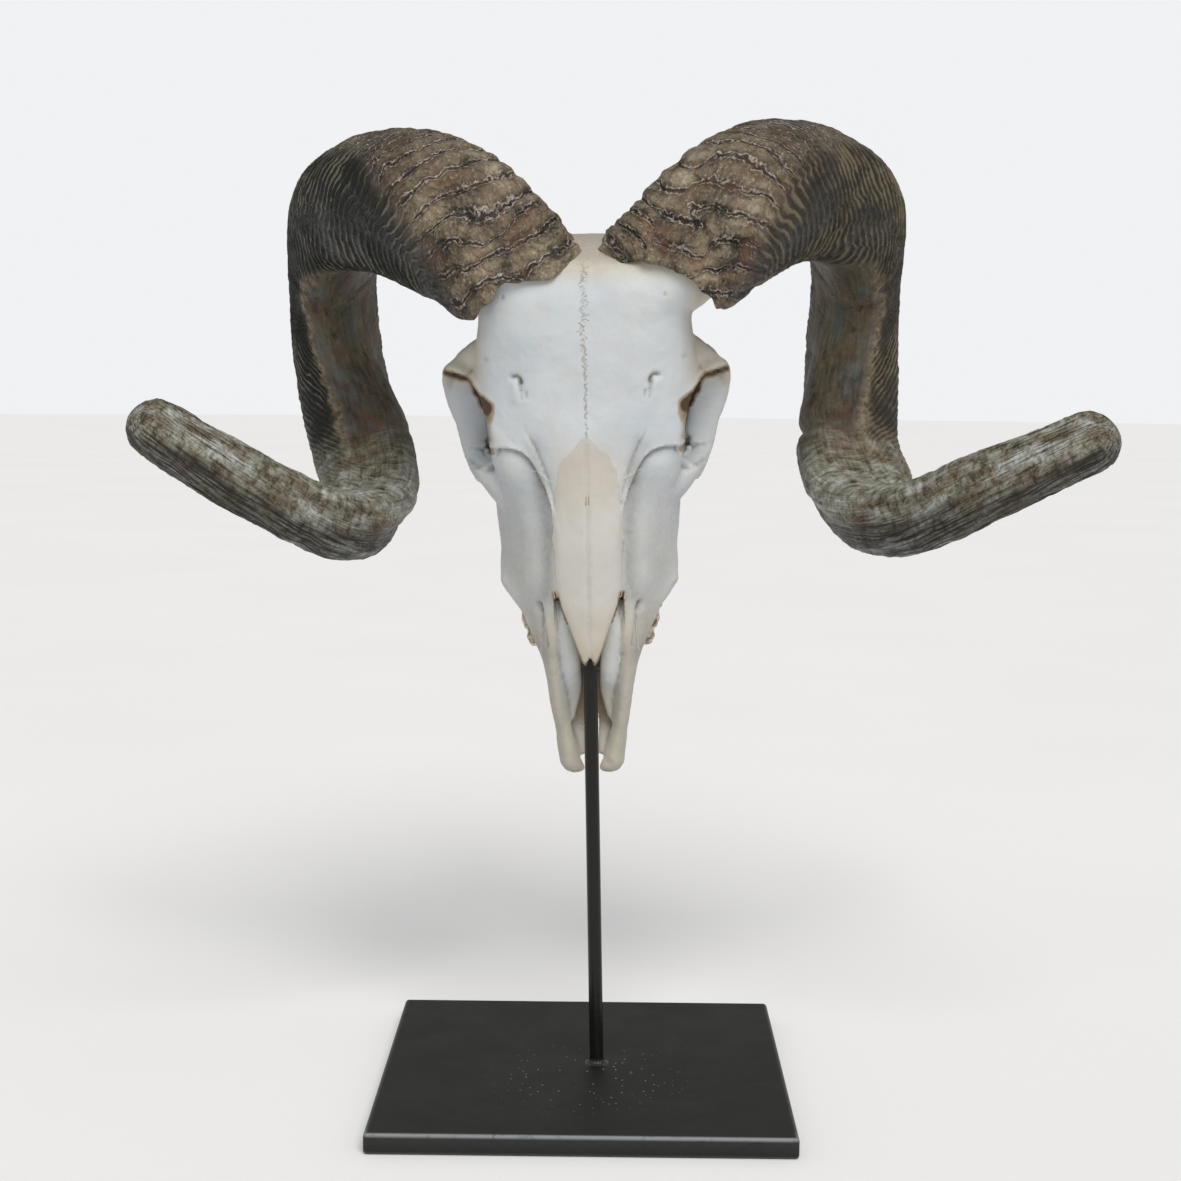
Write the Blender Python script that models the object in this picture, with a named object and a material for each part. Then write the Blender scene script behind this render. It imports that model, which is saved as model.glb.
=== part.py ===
"""Ram skull with its two horns, held by a rod above a square steel plate.

Metres, +Z up. The forehead looks along -Y, the ram's horns spread along X and
the muzzle hangs down. The origin is the middle of the plate's underside.
Sizes below are in millimetres and degrees.
"""

import math

import bmesh
import bpy
import numpy as np
from mathutils import Matrix

MM = 0.001

# Stand
PLATE_SIDE = 200.0
PLATE_THICK = 10.0
PLATE_EDGE = 1.5
ROD_RADIUS = 3.5
ROD_FOOT_X = 6.5
ROD_TOP_Z = 292.0
LEAN = 1.4

# Clearance between touching pieces
GAP = 0.3

# Grain of the modelled bone before it is thinned to few faces
BONE_GRAIN = 2.2
BONE_FACES = 6300
SHARP_ANGLE = 40.0

# Face and braincase, in level sections from the muzzle to the crown. Each row
# is a height, then half of the section's outline from the front midline over
# the nasal edge, cheek and side to the back midline, as (across, depth).
HEAD_SECTIONS = (
    (199, (0, 8), (9, 8), (16, 7), (20, 9), (21.5, 14), (21, 22), (17, 29), (9, 32), (0, 32)),
    (215, (0, -11), (6, -9), (15, 0), (21, 3), (24, 10), (25, 22), (23, 35), (12, 39), (0, 39)),
    (232, (0, -14), (11, -11), (18, -3), (24, 6), (30, 18), (33, 32), (32, 45), (18, 47), (0, 46)),
    (250, (0, -16), (14, -13), (20, -6), (31, 8), (43, 26), (40, 38), (35, 51), (20, 53), (0, 52)),
    (272, (0, -18), (16, -14), (21, -7), (32, 5), (44, 26), (43, 40), (36, 57), (20, 60), (0, 59)),
    (295, (0, -17), (16, -13.5), (23, -6), (35, 3), (46, 24), (44, 42), (35, 61), (18, 67), (0, 66)),
    (315, (0, -16), (14, -14), (28, -9), (42, -3), (47, 11), (37, 38), (28, 60), (17, 72), (0, 72)),
    (337, (0, -18), (20, -16.5), (36, -12), (49, -4), (50, 6), (33, 38), (32, 62), (18, 77), (0, 79)),
    (358, (0, -23), (22, -22), (38, -17), (50, -7), (54, 8), (41, 40), (38, 65), (20, 81), (0, 84)),
    (378, (0, -28), (22, -28), (38, -25), (48, -15), (52, 4), (43, 42), (40, 66), (22, 83), (0, 86)),
    (398, (0, -30), (20, -31), (35, -30), (46, -20), (49, 3), (42, 41), (37, 64), (20, 81), (0, 85)),
    (413, (0, -24), (16, -23), (28, -19), (37, -9), (41, 10), (37, 38), (31, 58), (16, 71), (0, 75)),
    (420, (0, -14), (11, -13), (20, -8), (27, 2), (30, 14), (28, 32), (22, 47), (11, 57), (0, 60)),
    (424, (0, 0), (4, 1), (8, 4), (11, 9), (12, 15), (11, 24), (8, 30), (4, 34), (0, 35)),
)

# Orbit: middle of its mouth, the way it faces and its long axis
ORBIT_MIDDLE = (58.5, 19.0, 335.5)
ORBIT_FACING = (0.855, -0.34, -0.395)
ORBIT_LONG = (0.42, 0.0, 0.91)
ORBIT_RADIUS = 23.5
ORBIT_RIM = 3.2
# Orbit hollow: distance along its facing, share of its mouth's radius
ORBIT_HOLLOW = ((16, 1.10), (6, 1.03), (0, 1.0), (-8, 0.98), (-18, 0.88), (-28, 0.66), (-36, 0.35))

# Bars of bone: points along the middle as (across, depth, height, half width, half depth)
POSTORBITAL_BAR = (
    (56, 22, 366, 6, 6), (61.5, 33, 355, 8.5, 3.5), (60, 40, 343, 8.5, 2.8), (58.5, 42, 329, 8, 2.8),
    (56, 37, 316, 6.5, 3.5), (51, 30, 306, 6, 6),
)
CHEEK_BONE = (
    (38, 24, 296, 8, 12), (46, 24, 303, 6.5, 11), (54, 26, 311, 4.8, 8), (59, 36, 319, 3.6, 6.5),
    (60.5, 50, 331, 3.2, 6), (58, 62, 345, 3.2, 5.5), (53, 70, 358, 4, 5.5), (42, 72, 368, 7, 7),
)
EYEBROW = (
    (34, 2, 366, 12, 10), (48, 6, 366, 10, 8), (58, 14, 363, 7, 5), (65, 19, 360, 4.2, 3.6),
    (69.5, 22, 358.5, 2.2, 2.6),
)
MUZZLE_BAR = (
    (19, -2, 250, 3.0, 3.5), (19, 3, 234, 4.2, 6), (18.4, 7, 217, 4.6, 8), (16.4, 10, 196, 4.4, 8),
    (13.8, 13, 178, 4.2, 7), (11.6, 14.5, 167, 5.2, 6), (9.8, 15, 161.8, 5.8, 5), (7.6, 15, 161.2, 5.4, 4),
    (5.4, 15.5, 162, 4.6, 3.2),
)
MUZZLE_FLOOR = (
    (8.6, 33, 222, 6.5, 2.2), (9.4, 29, 206, 6.8, 2.2), (9.0, 25, 190, 6.2, 2.0), (8.4, 21, 176, 5.2, 2.0),
    (8.0, 17, 165, 5.0, 3.0),
)
TURBINATE = (
    (11.5, 1, 254, 4, 6), (11.2, 0, 238, 4.8, 4.2), (10.4, 1, 222, 5.4, 3.2), (9.4, 5.5, 206, 5.2, 2.4),
    (9.3, 11, 196, 3.9, 2.2), (9.6, 13, 188, 2.2, 1.8), (9.6, 14, 183.5, 0.9, 1.2),
)
ORBIT_WALL = ((44, 42, 308, 8, 4), (45.5, 45, 322, 8, 4), (45, 47, 338, 8, 4), (42, 48, 354, 8, 4))
PTERYGOID = ((17, 62, 296, 3, 9), (15, 78, 306, 2.6, 8), (13, 82, 324, 3, 7), (12, 80, 344, 4, 6))
EAR_SPUR = ((33, 72, 392, 9, 8), (33, 88, 388, 5.5, 6), (31, 103, 384, 3.4, 4.5), (29, 112, 380, 2, 2.4))
# Rounded masses: middle and radii
CONDYLE = ((14, 82, 415), (9, 9, 10))
EAR_BULLA = ((23, 86, 366), (8, 9, 13))
NAPE_CREST = ((0, 42, 415), (30, 14, 7))
SKULL_FLOOR = ((0, 80, 372), (13, 12, 46))
CHEEK_TUBER = ((42.2, 28, 253.5), (2.8, 7, 4.2))

# Hole at the back for the spinal cord, as the rows of a bar
SPINE_HOLE = ((0, 80, 440, 10, 8.5), (0, 76, 414, 10, 8.5), (0, 69, 392, 8, 7))

# Nose hollow: height, half width, front depth, back depth
NOSE_HOLLOW = (
    (186, 19, -30, 26), (205, 17.5, -22, 28), (214, 16.5, -8.5, 31), (232, 15.5, -9.5, 35),
    (250, 14, -11, 36), (268, 10, -8, 32), (282, 4, 2, 22),
)
# Opening beside the free edge of the nasal bone, as (across, height)
NOSE_SLIT = (
    (15.2, 248.5), (16.6, 249.5), (17.2, 240), (16.4, 222), (15.6, 205), (0, 205), (0, 219), (0.5, 219),
    (1.5, 213.5), (2.6, 213.3), (4.4, 217),
)

# Cheek teeth: first and last middles as (across, depth, height) and the row's sizes
TOOTH_FIRST = (25.5, 47, 217)
TOOTH_LAST = (33.0, 67, 294)
TOOTH_BOW = 5.5
TOOTH_LENGTHS = (8.5, 10.5, 12.0, 14.5, 17.0, 18.5)
TOOTH_CROWN = 10.0
TOOTH_AXES = ((1.0, 0.0, 0.0), (0.0, 0.97, -0.25), (0.06, 0.25, 0.97))

# Horns: turn about the curl's axis, radius of the curl, distance from the midline,
# half thickness along the curl's radius and across it
CURL_Y = 55.0
CURL_Z = 371.1
HORN_LEFT = (
    (0, 64, 12, 30, 33), (20, 66.6, 34.4, 32, 32), (50, 72, 66, 41, 32.5), (88, 71, 106.5, 36, 30.5),
    (128, 79.5, 136, 30.3, 26), (155, 82, 143.5, 28.5, 23.5), (180, 82.8, 141, 27.3, 24),
    (225, 86, 122.5, 23, 25.5), (262, 88.5, 116.5, 18.6, 22), (290, 95.5, 130.5, 15.6, 18.5),
    (310.5, 97, 159.6, 14.4, 17.5), (337, 89.5, 218, 12, 14.5),
)
HORN_RIGHT = (
    (0, 64, 14, 30, 33), (20, 67.6, 36.6, 32, 31.2), (50, 78.5, 67.3, 40.3, 32.5), (86, 78.5, 103, 35, 32),
    (126, 79.8, 138.5, 30, 27.5), (155, 82, 144.5, 28.5, 24), (180, 82.8, 142.5, 27.3, 24.5),
    (225, 85, 138, 23.5, 26.5), (243, 84, 141, 21.5, 27), (262, 84.2, 145, 19.5, 24.5),
    (288, 89, 163, 17.2, 20), (311, 90, 196, 16.2, 18), (333, 87.8, 252.5, 13.6, 15),
)
# Section of the horns: distance along the horn, share that the three corners swell, degrees turned
HORN_SECTION = (
    (0, 0.10, 0), (90, 0.04, 0), (150, 0.02, 0), (250, 0.08, 0), (330, 0.16, 40), (400, 0.20, 60),
    (450, 0.16, 60), (500, 0.10, 60), (560, 0.05, 60),
)
HORN_SIDES = 18
HORN_RIDGES = 24
HORN_RINGS_A_RIDGE = 3
RIDGE_HEIGHT = 1.3
HORN_CAP_RINGS = 4
HORN_SAMPLES = 400
HORN_RIM_STEP = 0.03
CORE_RINGS = 24
CORE_SIDES = 32
# Where each sheath starts: angle from the front over the outer side, distance along the horn
RIM_LEFT = (
    (0, 29), (15, 32), (30, 32), (45, 33), (60, 33), (75, 37), (90, 44), (105, 50), (120, 53), (150, 56),
    (180, 55), (210, 48), (225, 40), (240, 30), (255, 23), (270, 18), (285, 15), (300, 16), (330, 23),
)
RIM_RIGHT = (
    (0, 38), (15, 39), (30, 39), (45, 40), (60, 40), (75, 44), (90, 50), (105, 55), (120, 58), (150, 61),
    (180, 61), (210, 56), (225, 50), (240, 43), (255, 31), (270, 22), (285, 19), (300, 20), (330, 32),
)
# Bony core inside the sheath: where it starts, how soon it is full and where it ends
CORE_START = 6.0
CORE_SWELL = 36.0
CORE_LENGTH = 74.0
SHEATH_WALL = 3.4
# Core's half thickness on its outer side: distance along the horn, half thickness
CORE_OUTER = ((6, 6), (20, 10), (33, 14), (47, 20), (60, 26), (74, 27))

# Seams between the bones, as (across, height) outlines seen from the front
NASAL_OUTLINE = (
    (0, 200), (0, 326.5), (3, 324), (7.5, 319), (11.8, 315.8), (14.6, 309), (16.4, 295), (17.0, 276),
    (16.6, 258), (15.6, 248), (9.6, 230), (4, 200),
)
NASAL_BACK = -7.5
MAXILLA_OUTLINE = (
    (0, 196), (0, 304), (16, 304), (24, 309), (34, 311), (43, 304), (50, 292), (70, 285), (70, 196),
)
PREMAXILLA_BLOCKS = (
    (((0, 120), (0, 207), (12, 209), (40, 209), (40, 120)), -60, 120),
    (
        ((13, 200), (14.6, 226), (16.6, 245), (18.4, 256), (20.2, 247), (22.4, 234), (24.4, 220), (40, 200)),
        -60, 9,
    ),
)
ZYGOMA_OUTLINE = ((70, 338), (52, 338), (49.5, 318), (42, 300), (50, 284), (90, 284), (90, 338))

BONE_COLOUR = (0.78, 0.77, 0.73)
NASAL_COLOUR = (0.76, 0.70, 0.60)
HORN_COLOUR = (0.24, 0.18, 0.11)
STEEL_COLOUR = (0.035, 0.037, 0.042)


def clear_scene():
    """Empty the scene."""
    for item in list(bpy.data.objects):
        bpy.data.objects.remove(item, do_unlink=True)


def make_material(name, colour, roughness, metallic=0.0):
    """A plain finish with one colour."""
    finish = bpy.data.materials.new(name)
    finish.use_nodes = True
    shader = finish.node_tree.nodes["Principled BSDF"]
    shader.inputs["Base Color"].default_value = (*colour, 1.0)
    shader.inputs["Roughness"].default_value = roughness
    shader.inputs["Metallic"].default_value = metallic
    return finish


def open_weights(knots, at):
    """Weights of each knot for a smooth curve through all of them."""
    knots = np.asarray(knots, float)
    at = np.asarray(at, float)
    size = len(knots)
    eye = np.eye(size)
    slope = (eye[1:] - eye[:-1]) / np.diff(knots)[:, None]
    before = np.diff(knots)[:-1, None]
    after = np.diff(knots)[1:, None]
    tangent = np.repeat(slope[:1], size, axis=0)
    tangent[1:-1] = (after * slope[:-1] + before * slope[1:]) / (before + after)
    if size > 2:
        tangent[0] = 2 * slope[0] - tangent[1]
        tangent[-1] = 2 * slope[-1] - tangent[-2]
    cell = np.clip(np.searchsorted(knots, at, side="right") - 1, 0, size - 2)
    span = np.diff(knots)[cell][:, None]
    t = (at[:, None] - knots[cell][:, None]) / span
    return (
        (2 * t ** 3 - 3 * t ** 2 + 1) * eye[cell]
        + (t ** 3 - 2 * t ** 2 + t) * span * tangent[cell]
        + (3 * t ** 2 - 2 * t ** 3) * eye[cell + 1]
        + (t ** 3 - t ** 2) * span * tangent[cell + 1]
    )


def ring_weights(size, count):
    """Weights of each corner for a smooth closed curve through all of them."""
    at = np.arange(count) * size / count
    cell = at.astype(int)
    t = (at - cell)[:, None]
    eye = np.eye(size)
    return (
        (-0.5 * t + t ** 2 - 0.5 * t ** 3) * eye[(cell - 1) % size]
        + (1 - 2.5 * t ** 2 + 1.5 * t ** 3) * eye[cell % size]
        + (0.5 * t + 2 * t ** 2 - 1.5 * t ** 3) * eye[(cell + 1) % size]
        + (0.5 * t ** 3 - 0.5 * t ** 2) * eye[(cell + 2) % size]
    )


def mesh_object(name, points, faces):
    """A mesh object from points in millimetres, with its faces turned outwards."""
    mesh = bpy.data.meshes.new(name)
    mesh.from_pydata((np.asarray(points) * MM).tolist(), [], [list(face) for face in faces])
    work = bmesh.new()
    work.from_mesh(mesh)
    bmesh.ops.recalc_face_normals(work, faces=work.faces)
    work.to_mesh(mesh)
    work.free()
    item = bpy.data.objects.new(name, mesh)
    bpy.context.collection.objects.link(item)
    return item


def ring_tube(name, rings):
    """A closed tube through rings of points, each end closed to its middle."""
    count, sides = rings.shape[:2]
    points = np.concatenate([rings.reshape(-1, 3), rings[:1].mean(1), rings[-1:].mean(1)])
    low, high = count * sides, count * sides + 1
    faces = []
    for ring in range(count - 1):
        for side in range(sides):
            after = (side + 1) % sides
            a = ring * sides
            b = a + sides
            faces.append((a + side, a + after, b + after, b + side))
    last = (count - 1) * sides
    for side in range(sides):
        after = (side + 1) % sides
        faces.append((low, after, side))
        faces.append((high, last + side, last + after))
    return mesh_object(name, points, faces)


def head_block(name, rings=90, sides=96):
    """The face and braincase, lofted through the level sections."""
    heights = [row[0] for row in HEAD_SECTIONS]
    outline = []
    for row in HEAD_SECTIONS:
        half = [(x, y, row[0]) for x, y in row[1:]]
        other = [(-x, y, z) for x, y, z in half[-2:0:-1]]
        outline.append(half + other)
    outline = np.array(outline, float)
    along = open_weights(heights, np.linspace(heights[0], heights[-1], rings))
    across = ring_weights(outline.shape[1], sides)
    return ring_tube(name, np.einsum("rs,skc,mk->rmc", along, outline, across))


def bar(name, rows, side, rings=28, sides=20):
    """A bar of bone that follows a curve, with an oval section."""
    table = np.array(rows, float)
    table[:, 0] *= side
    length = np.r_[0, np.cumsum(np.linalg.norm(np.diff(table[:, :3], axis=0), axis=1))]
    weights = open_weights(length, np.linspace(0, length[-1], rings))
    table = weights @ table
    middle, half_width, half_depth = table[:, :3], table[:, 3], table[:, 4]
    forward = np.gradient(middle, axis=0)
    forward /= np.linalg.norm(forward, axis=1, keepdims=True)
    depth = np.tile(np.array([0.0, 1.0, 0.0]), (rings, 1))
    depth -= (depth * forward).sum(1, keepdims=True) * forward
    depth /= np.linalg.norm(depth, axis=1, keepdims=True)
    width = np.cross(forward, depth)
    angle = np.linspace(0, 2 * math.pi, sides, endpoint=False)
    rings_at = (
        middle[:, None]
        + (half_width[:, None] * np.cos(angle))[..., None] * width[:, None]
        + (half_depth[:, None] * np.sin(angle))[..., None] * depth[:, None]
    )
    return ring_tube(name, rings_at)


def ball(name, middle, radii, side=1.0):
    """A rounded mass with its own radius along each axis."""
    mesh = bpy.data.meshes.new(name)
    work = bmesh.new()
    bmesh.ops.create_uvsphere(work, u_segments=28, v_segments=16, radius=1.0)
    bmesh.ops.scale(work, vec=[radius * MM for radius in radii], verts=work.verts)
    place = (middle[0] * side * MM, middle[1] * MM, middle[2] * MM)
    bmesh.ops.translate(work, vec=place, verts=work.verts)
    work.to_mesh(mesh)
    work.free()
    item = bpy.data.objects.new(name, mesh)
    bpy.context.collection.objects.link(item)
    return item


def orbit_axes(side):
    """Facing, long axis and third axis of one orbit."""
    flip = np.array([side, 1.0, 1.0])
    facing = np.array(ORBIT_FACING)
    long_axis = np.array(ORBIT_LONG)
    facing = facing / np.linalg.norm(facing)
    long_axis = long_axis - (long_axis @ facing) * facing
    long_axis = long_axis / np.linalg.norm(long_axis)
    back = np.cross(long_axis, facing)
    return np.array(ORBIT_MIDDLE) * flip, facing * flip, long_axis * flip, back * flip


def orbit_rim(name, side):
    """The ring of bone round one orbit's mouth."""
    middle, facing, long_axis, back = orbit_axes(side)
    turn = np.linspace(0, 2 * math.pi, 49)[:-1]
    roll = np.linspace(0, 2 * math.pi, 15)[:-1]
    inward = np.clip(-np.sin(turn), 0, 1)[:, None]
    size = ORBIT_RIM * (1 - 0.45 * inward)
    radius = ORBIT_RADIUS + 0.7 * size + size * np.cos(roll)
    rise = size * np.sin(roll) - 2.5 - 1.6 * inward
    ring = np.cos(turn)[:, None] * long_axis + np.sin(turn)[:, None] * back
    points = middle + radius[..., None] * ring[:, None] + rise[..., None] * facing
    faces = []
    for i in range(48):
        for j in range(14):
            a, b = i * 14, ((i + 1) % 48) * 14
            after = (j + 1) % 14
            faces.append((a + j, a + after, b + after, b + j))
    return mesh_object(name, points.reshape(-1, 3), faces)


def orbit_hollow(name, side):
    """The tool that hollows one orbit, a cone with round sides."""
    middle, facing, long_axis, back = orbit_axes(side)
    turn = np.linspace(0, 2 * math.pi, 24, endpoint=False)
    ring = np.cos(turn)[:, None] * long_axis + np.sin(turn)[:, None] * back
    rings = [middle + along * facing + ORBIT_RADIUS * share * ring for along, share in ORBIT_HOLLOW]
    return ring_tube(name, np.array(rings))


def nose_hollow(name):
    """The tool that hollows the nose behind the nasal bones."""
    turn = np.linspace(0, 2 * math.pi, 24, endpoint=False)
    rings = []
    for height, half, front, back in NOSE_HOLLOW:
        across = half * np.sign(np.cos(turn)) * np.abs(np.cos(turn)) ** 0.7
        depth = 0.5 * (front + back) + 0.5 * (back - front) * np.sin(turn)
        rings.append(np.stack([across, depth, np.full(24, height)], 1))
    return ring_tube(name, np.array(rings))


def prism(name, outline, front, back, side=1.0):
    """An outline seen from the front, carried from a front depth to a back depth."""
    size = len(outline)
    points = [(x * side, front, z) for x, z in outline] + [(x * side, back, z) for x, z in outline]
    faces = [tuple(range(size)), tuple(range(2 * size - 1, size - 1, -1))]
    for i in range(size):
        after = (i + 1) % size
        faces.append((i, after, size + after, size + i))
    return mesh_object(name, points, faces)


def grown(outline, by):
    """The outline moved outwards by a distance."""
    points = np.array(outline, float)
    area = np.sum(points[:, 0] * np.roll(points[:, 1], -1) - np.roll(points[:, 0], -1) * points[:, 1])
    turn = 1.0 if area > 0 else -1.0
    edge = np.roll(points, -1, axis=0) - points
    edge /= np.linalg.norm(edge, axis=1, keepdims=True)
    out = np.stack([edge[:, 1], -edge[:, 0]], 1) * turn
    before = np.roll(out, 1, axis=0)
    corner = (out + before) / (1 + (out * before).sum(1, keepdims=True)).clip(0.35)
    return points + corner * by


def rounded_block(name, middle, radii, axes, side, square=0.5):
    """A block with round corners: an ellipsoid whose cosines are raised to a power."""
    turn = np.linspace(0, 2 * math.pi, 20, endpoint=False)
    rise = np.linspace(-0.5 * math.pi, 0.5 * math.pi, 11)[1:-1]

    def soft(values):
        return np.sign(values) * np.abs(values) ** square

    local = np.stack(
        [
            radii[0] * soft(np.cos(rise))[:, None] * soft(np.cos(turn)),
            radii[1] * soft(np.cos(rise))[:, None] * soft(np.sin(turn)),
            radii[2] * soft(np.sin(rise))[:, None] * np.ones(len(turn)),
        ],
        -1,
    )
    points = local @ np.array(axes) + np.array(middle)
    points[..., 0] *= side
    return ring_tube(name, points)


def tooth_row(side):
    """The cheek teeth of one side, each a rounded block set along the row."""
    first, last = np.array(TOOTH_FIRST, float), np.array(TOOTH_LAST, float)
    total = sum(TOOTH_LENGTHS)
    start = 0.0
    teeth = []
    for number, length in enumerate(TOOTH_LENGTHS):
        share = (start + 0.5 * length) / total
        start += length
        middle = first + (last - first) * share
        middle[0] += TOOTH_BOW * math.sin(math.pi * share)
        radii = (6.4, TOOTH_CROWN, 0.5 * length)
        teeth.append(rounded_block(f"tooth_{number}", middle, radii, TOOTH_AXES, side))
    return teeth


def horn_shape(rows, side, rings, shrink=0.0):
    """Distance along one horn, its middle line, outward and sideways directions and half thicknesses."""
    table = np.array(rows, float)
    turn = np.radians(table[:, 0])
    depth = CURL_Y - table[:, 1] * np.cos(turn)
    height = CURL_Z + table[:, 1] * np.sin(turn)
    line = np.stack([side * table[:, 2], depth, height], 1)
    knots = np.r_[0, np.cumsum(np.linalg.norm(np.diff(line, axis=0), axis=1))]
    weights = open_weights(knots, np.linspace(0, knots[-1], rings))
    middle = weights @ line
    half = weights @ table[:, 3:5] - shrink
    forward = np.gradient(middle, axis=0)
    forward /= np.linalg.norm(forward, axis=1, keepdims=True)
    out = middle - np.array([0, CURL_Y, CURL_Z])
    out[:, 0] = 0
    out -= (out * forward).sum(1, keepdims=True) * forward
    out /= np.linalg.norm(out, axis=1, keepdims=True)
    across = np.cross(forward, out)
    if across[: rings // 2, 0].mean() * side < 0:
        across = -across
    place = np.r_[0, np.cumsum(np.linalg.norm(np.diff(middle, axis=0), axis=1))]
    return place, middle, out, across, half


def read_along(place, values, where):
    """Values along a line, read at other distances."""
    return np.stack([np.interp(where, place, values[:, k]) for k in range(values.shape[1])], -1)


def horn_corners(where, angle):
    """Share of a horn's half thickness at each angle of its rounded triangular section."""
    table = np.array(HORN_SECTION, float)
    swell = np.interp(where, table[:, 0], table[:, 1])
    turned = np.radians(np.interp(where, table[:, 0], table[:, 2]))
    return 1 - swell * np.cos(3 * (angle - turned))


def horn_sheath(name, rows, rim, side):
    """One horn with its ring ridges and blunt tip."""
    place, middle, out, across, half = horn_shape(rows, side, HORN_SAMPLES)
    total = place[-1]
    angle = np.linspace(0, 2 * math.pi, HORN_SIDES, endpoint=False)
    rim = np.array(rim, float)
    starts = np.interp(np.degrees(angle), np.r_[rim[:, 0], 360], np.r_[rim[:, 1], rim[0, 1]])
    steps = HORN_RIDGES * HORN_RINGS_A_RIDGE
    blunt = half[-1].mean()
    body = np.linspace(0, total - blunt, steps + 1)
    rise = np.linspace(0, 0.5 * math.pi, HORN_CAP_RINGS + 2)[1:-1]
    at = np.r_[body, total - blunt * (1 - np.sin(rise))]
    early = at[:, None] < starts
    where = np.maximum(at[:, None], starts) + HORN_RIM_STEP * np.arange(len(at))[:, None] * early
    past = np.clip(where - (total - blunt), 0, None) / blunt
    wave = np.cos(2 * math.pi * where * steps / (total - blunt) / HORN_RINGS_A_RIDGE)
    ridge = RIDGE_HEIGHT * np.clip(1 - where / (total - blunt), 0, 1) ** 0.6 * wave
    fade = np.sqrt(np.clip(1 - past ** 2, 0, 1))
    corner = horn_corners(where, angle)
    size = read_along(place, half, where)
    radial = (size[..., 0] * corner + ridge) * fade * np.cos(angle)
    lateral = (size[..., 1] * corner + ridge) * fade * np.sin(angle)
    points = read_along(place, middle, where)
    points = points + radial[..., None] * read_along(place, out, where)
    points = points + lateral[..., None] * read_along(place, across, where)
    return ring_tube(name, points[at > starts.min()])


def horn_core(name, rows, side):
    """The bony core that fills the root of one horn."""
    place, middle, out, across, half = horn_shape(rows, side, HORN_SAMPLES, SHEATH_WALL)
    share = np.linspace(0, 1, CORE_RINGS)
    at = CORE_START + share * (CORE_LENGTH - CORE_START)
    root = np.clip((at - CORE_START) / CORE_SWELL, 0, 1)
    tip = np.sqrt(np.clip(1 - share ** 3, 0.01, 1))
    angle = np.linspace(0, 2 * math.pi, CORE_SIDES, endpoint=False)
    corner = horn_corners(at[:, None], angle)
    size = read_along(place, half, at) * (tip * (1 - 0.5 * (1 - root) ** 2))[:, None]
    outer = np.array(CORE_OUTER, float)
    outer = np.interp(at, outer[:, 0], outer[:, 1]) * tip
    sideways = np.where(np.sin(angle) > 0, outer[:, None], size[:, 1:]) * corner * np.sin(angle)
    points = read_along(place, middle, at)[:, None]
    points = points + (size[:, :1] * corner * np.cos(angle))[..., None] * read_along(place, out, at)[:, None]
    points = points + sideways[..., None] * read_along(place, across, at)[:, None]
    return ring_tube(name, points)


def apply_modifiers(item):
    """Replace an object's mesh by what its modifiers make of it."""
    graph = bpy.context.evaluated_depsgraph_get()
    mesh = bpy.data.meshes.new_from_object(item.evaluated_get(graph))
    item.modifiers.clear()
    item.data = mesh


def boolean(item, other, operation, solver="EXACT", discard=True):
    """Cut or join an object with another and apply the result."""
    change = item.modifiers.new(operation.title(), "BOOLEAN")
    change.operation = operation
    change.solver = solver
    change.object = other
    apply_modifiers(item)
    if discard:
        bpy.data.objects.remove(other, do_unlink=True)


def keep_largest(item):
    """Drop every closed surface but the largest."""
    work = bmesh.new()
    work.from_mesh(item.data)
    left = set(work.verts)
    best = set()
    while left:
        seed = left.pop()
        group = {seed}
        stack = [seed]
        while stack:
            for edge in stack.pop().link_edges:
                for vert in edge.verts:
                    if vert not in group:
                        group.add(vert)
                        stack.append(vert)
        left -= group
        if len(group) > len(best):
            best = group
    bmesh.ops.delete(work, geom=[vert for vert in work.verts if vert not in best], context="VERTS")
    work.to_mesh(item.data)
    work.free()


def lean_over(item, back=False):
    """Lean a piece of the skull sideways about the rod's foot, or set it upright again."""
    foot = Matrix.Translation((ROD_FOOT_X * MM, 0, PLATE_THICK * MM))
    turn = Matrix.Rotation(-math.radians(LEAN), 4, "Y")
    lean = foot @ turn @ Matrix.Translation((0, 0, -PLATE_THICK * MM))
    item.data.transform(lean.inverted() if back else lean)


def joined(name, items):
    """One object that holds the meshes of several."""
    work = bmesh.new()
    for item in items:
        work.from_mesh(item.data)
    mesh = bpy.data.meshes.new(name)
    work.to_mesh(mesh)
    work.free()
    for item in items:
        bpy.data.objects.remove(item, do_unlink=True)
    result = bpy.data.objects.new(name, mesh)
    bpy.context.collection.objects.link(result)
    return result


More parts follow.
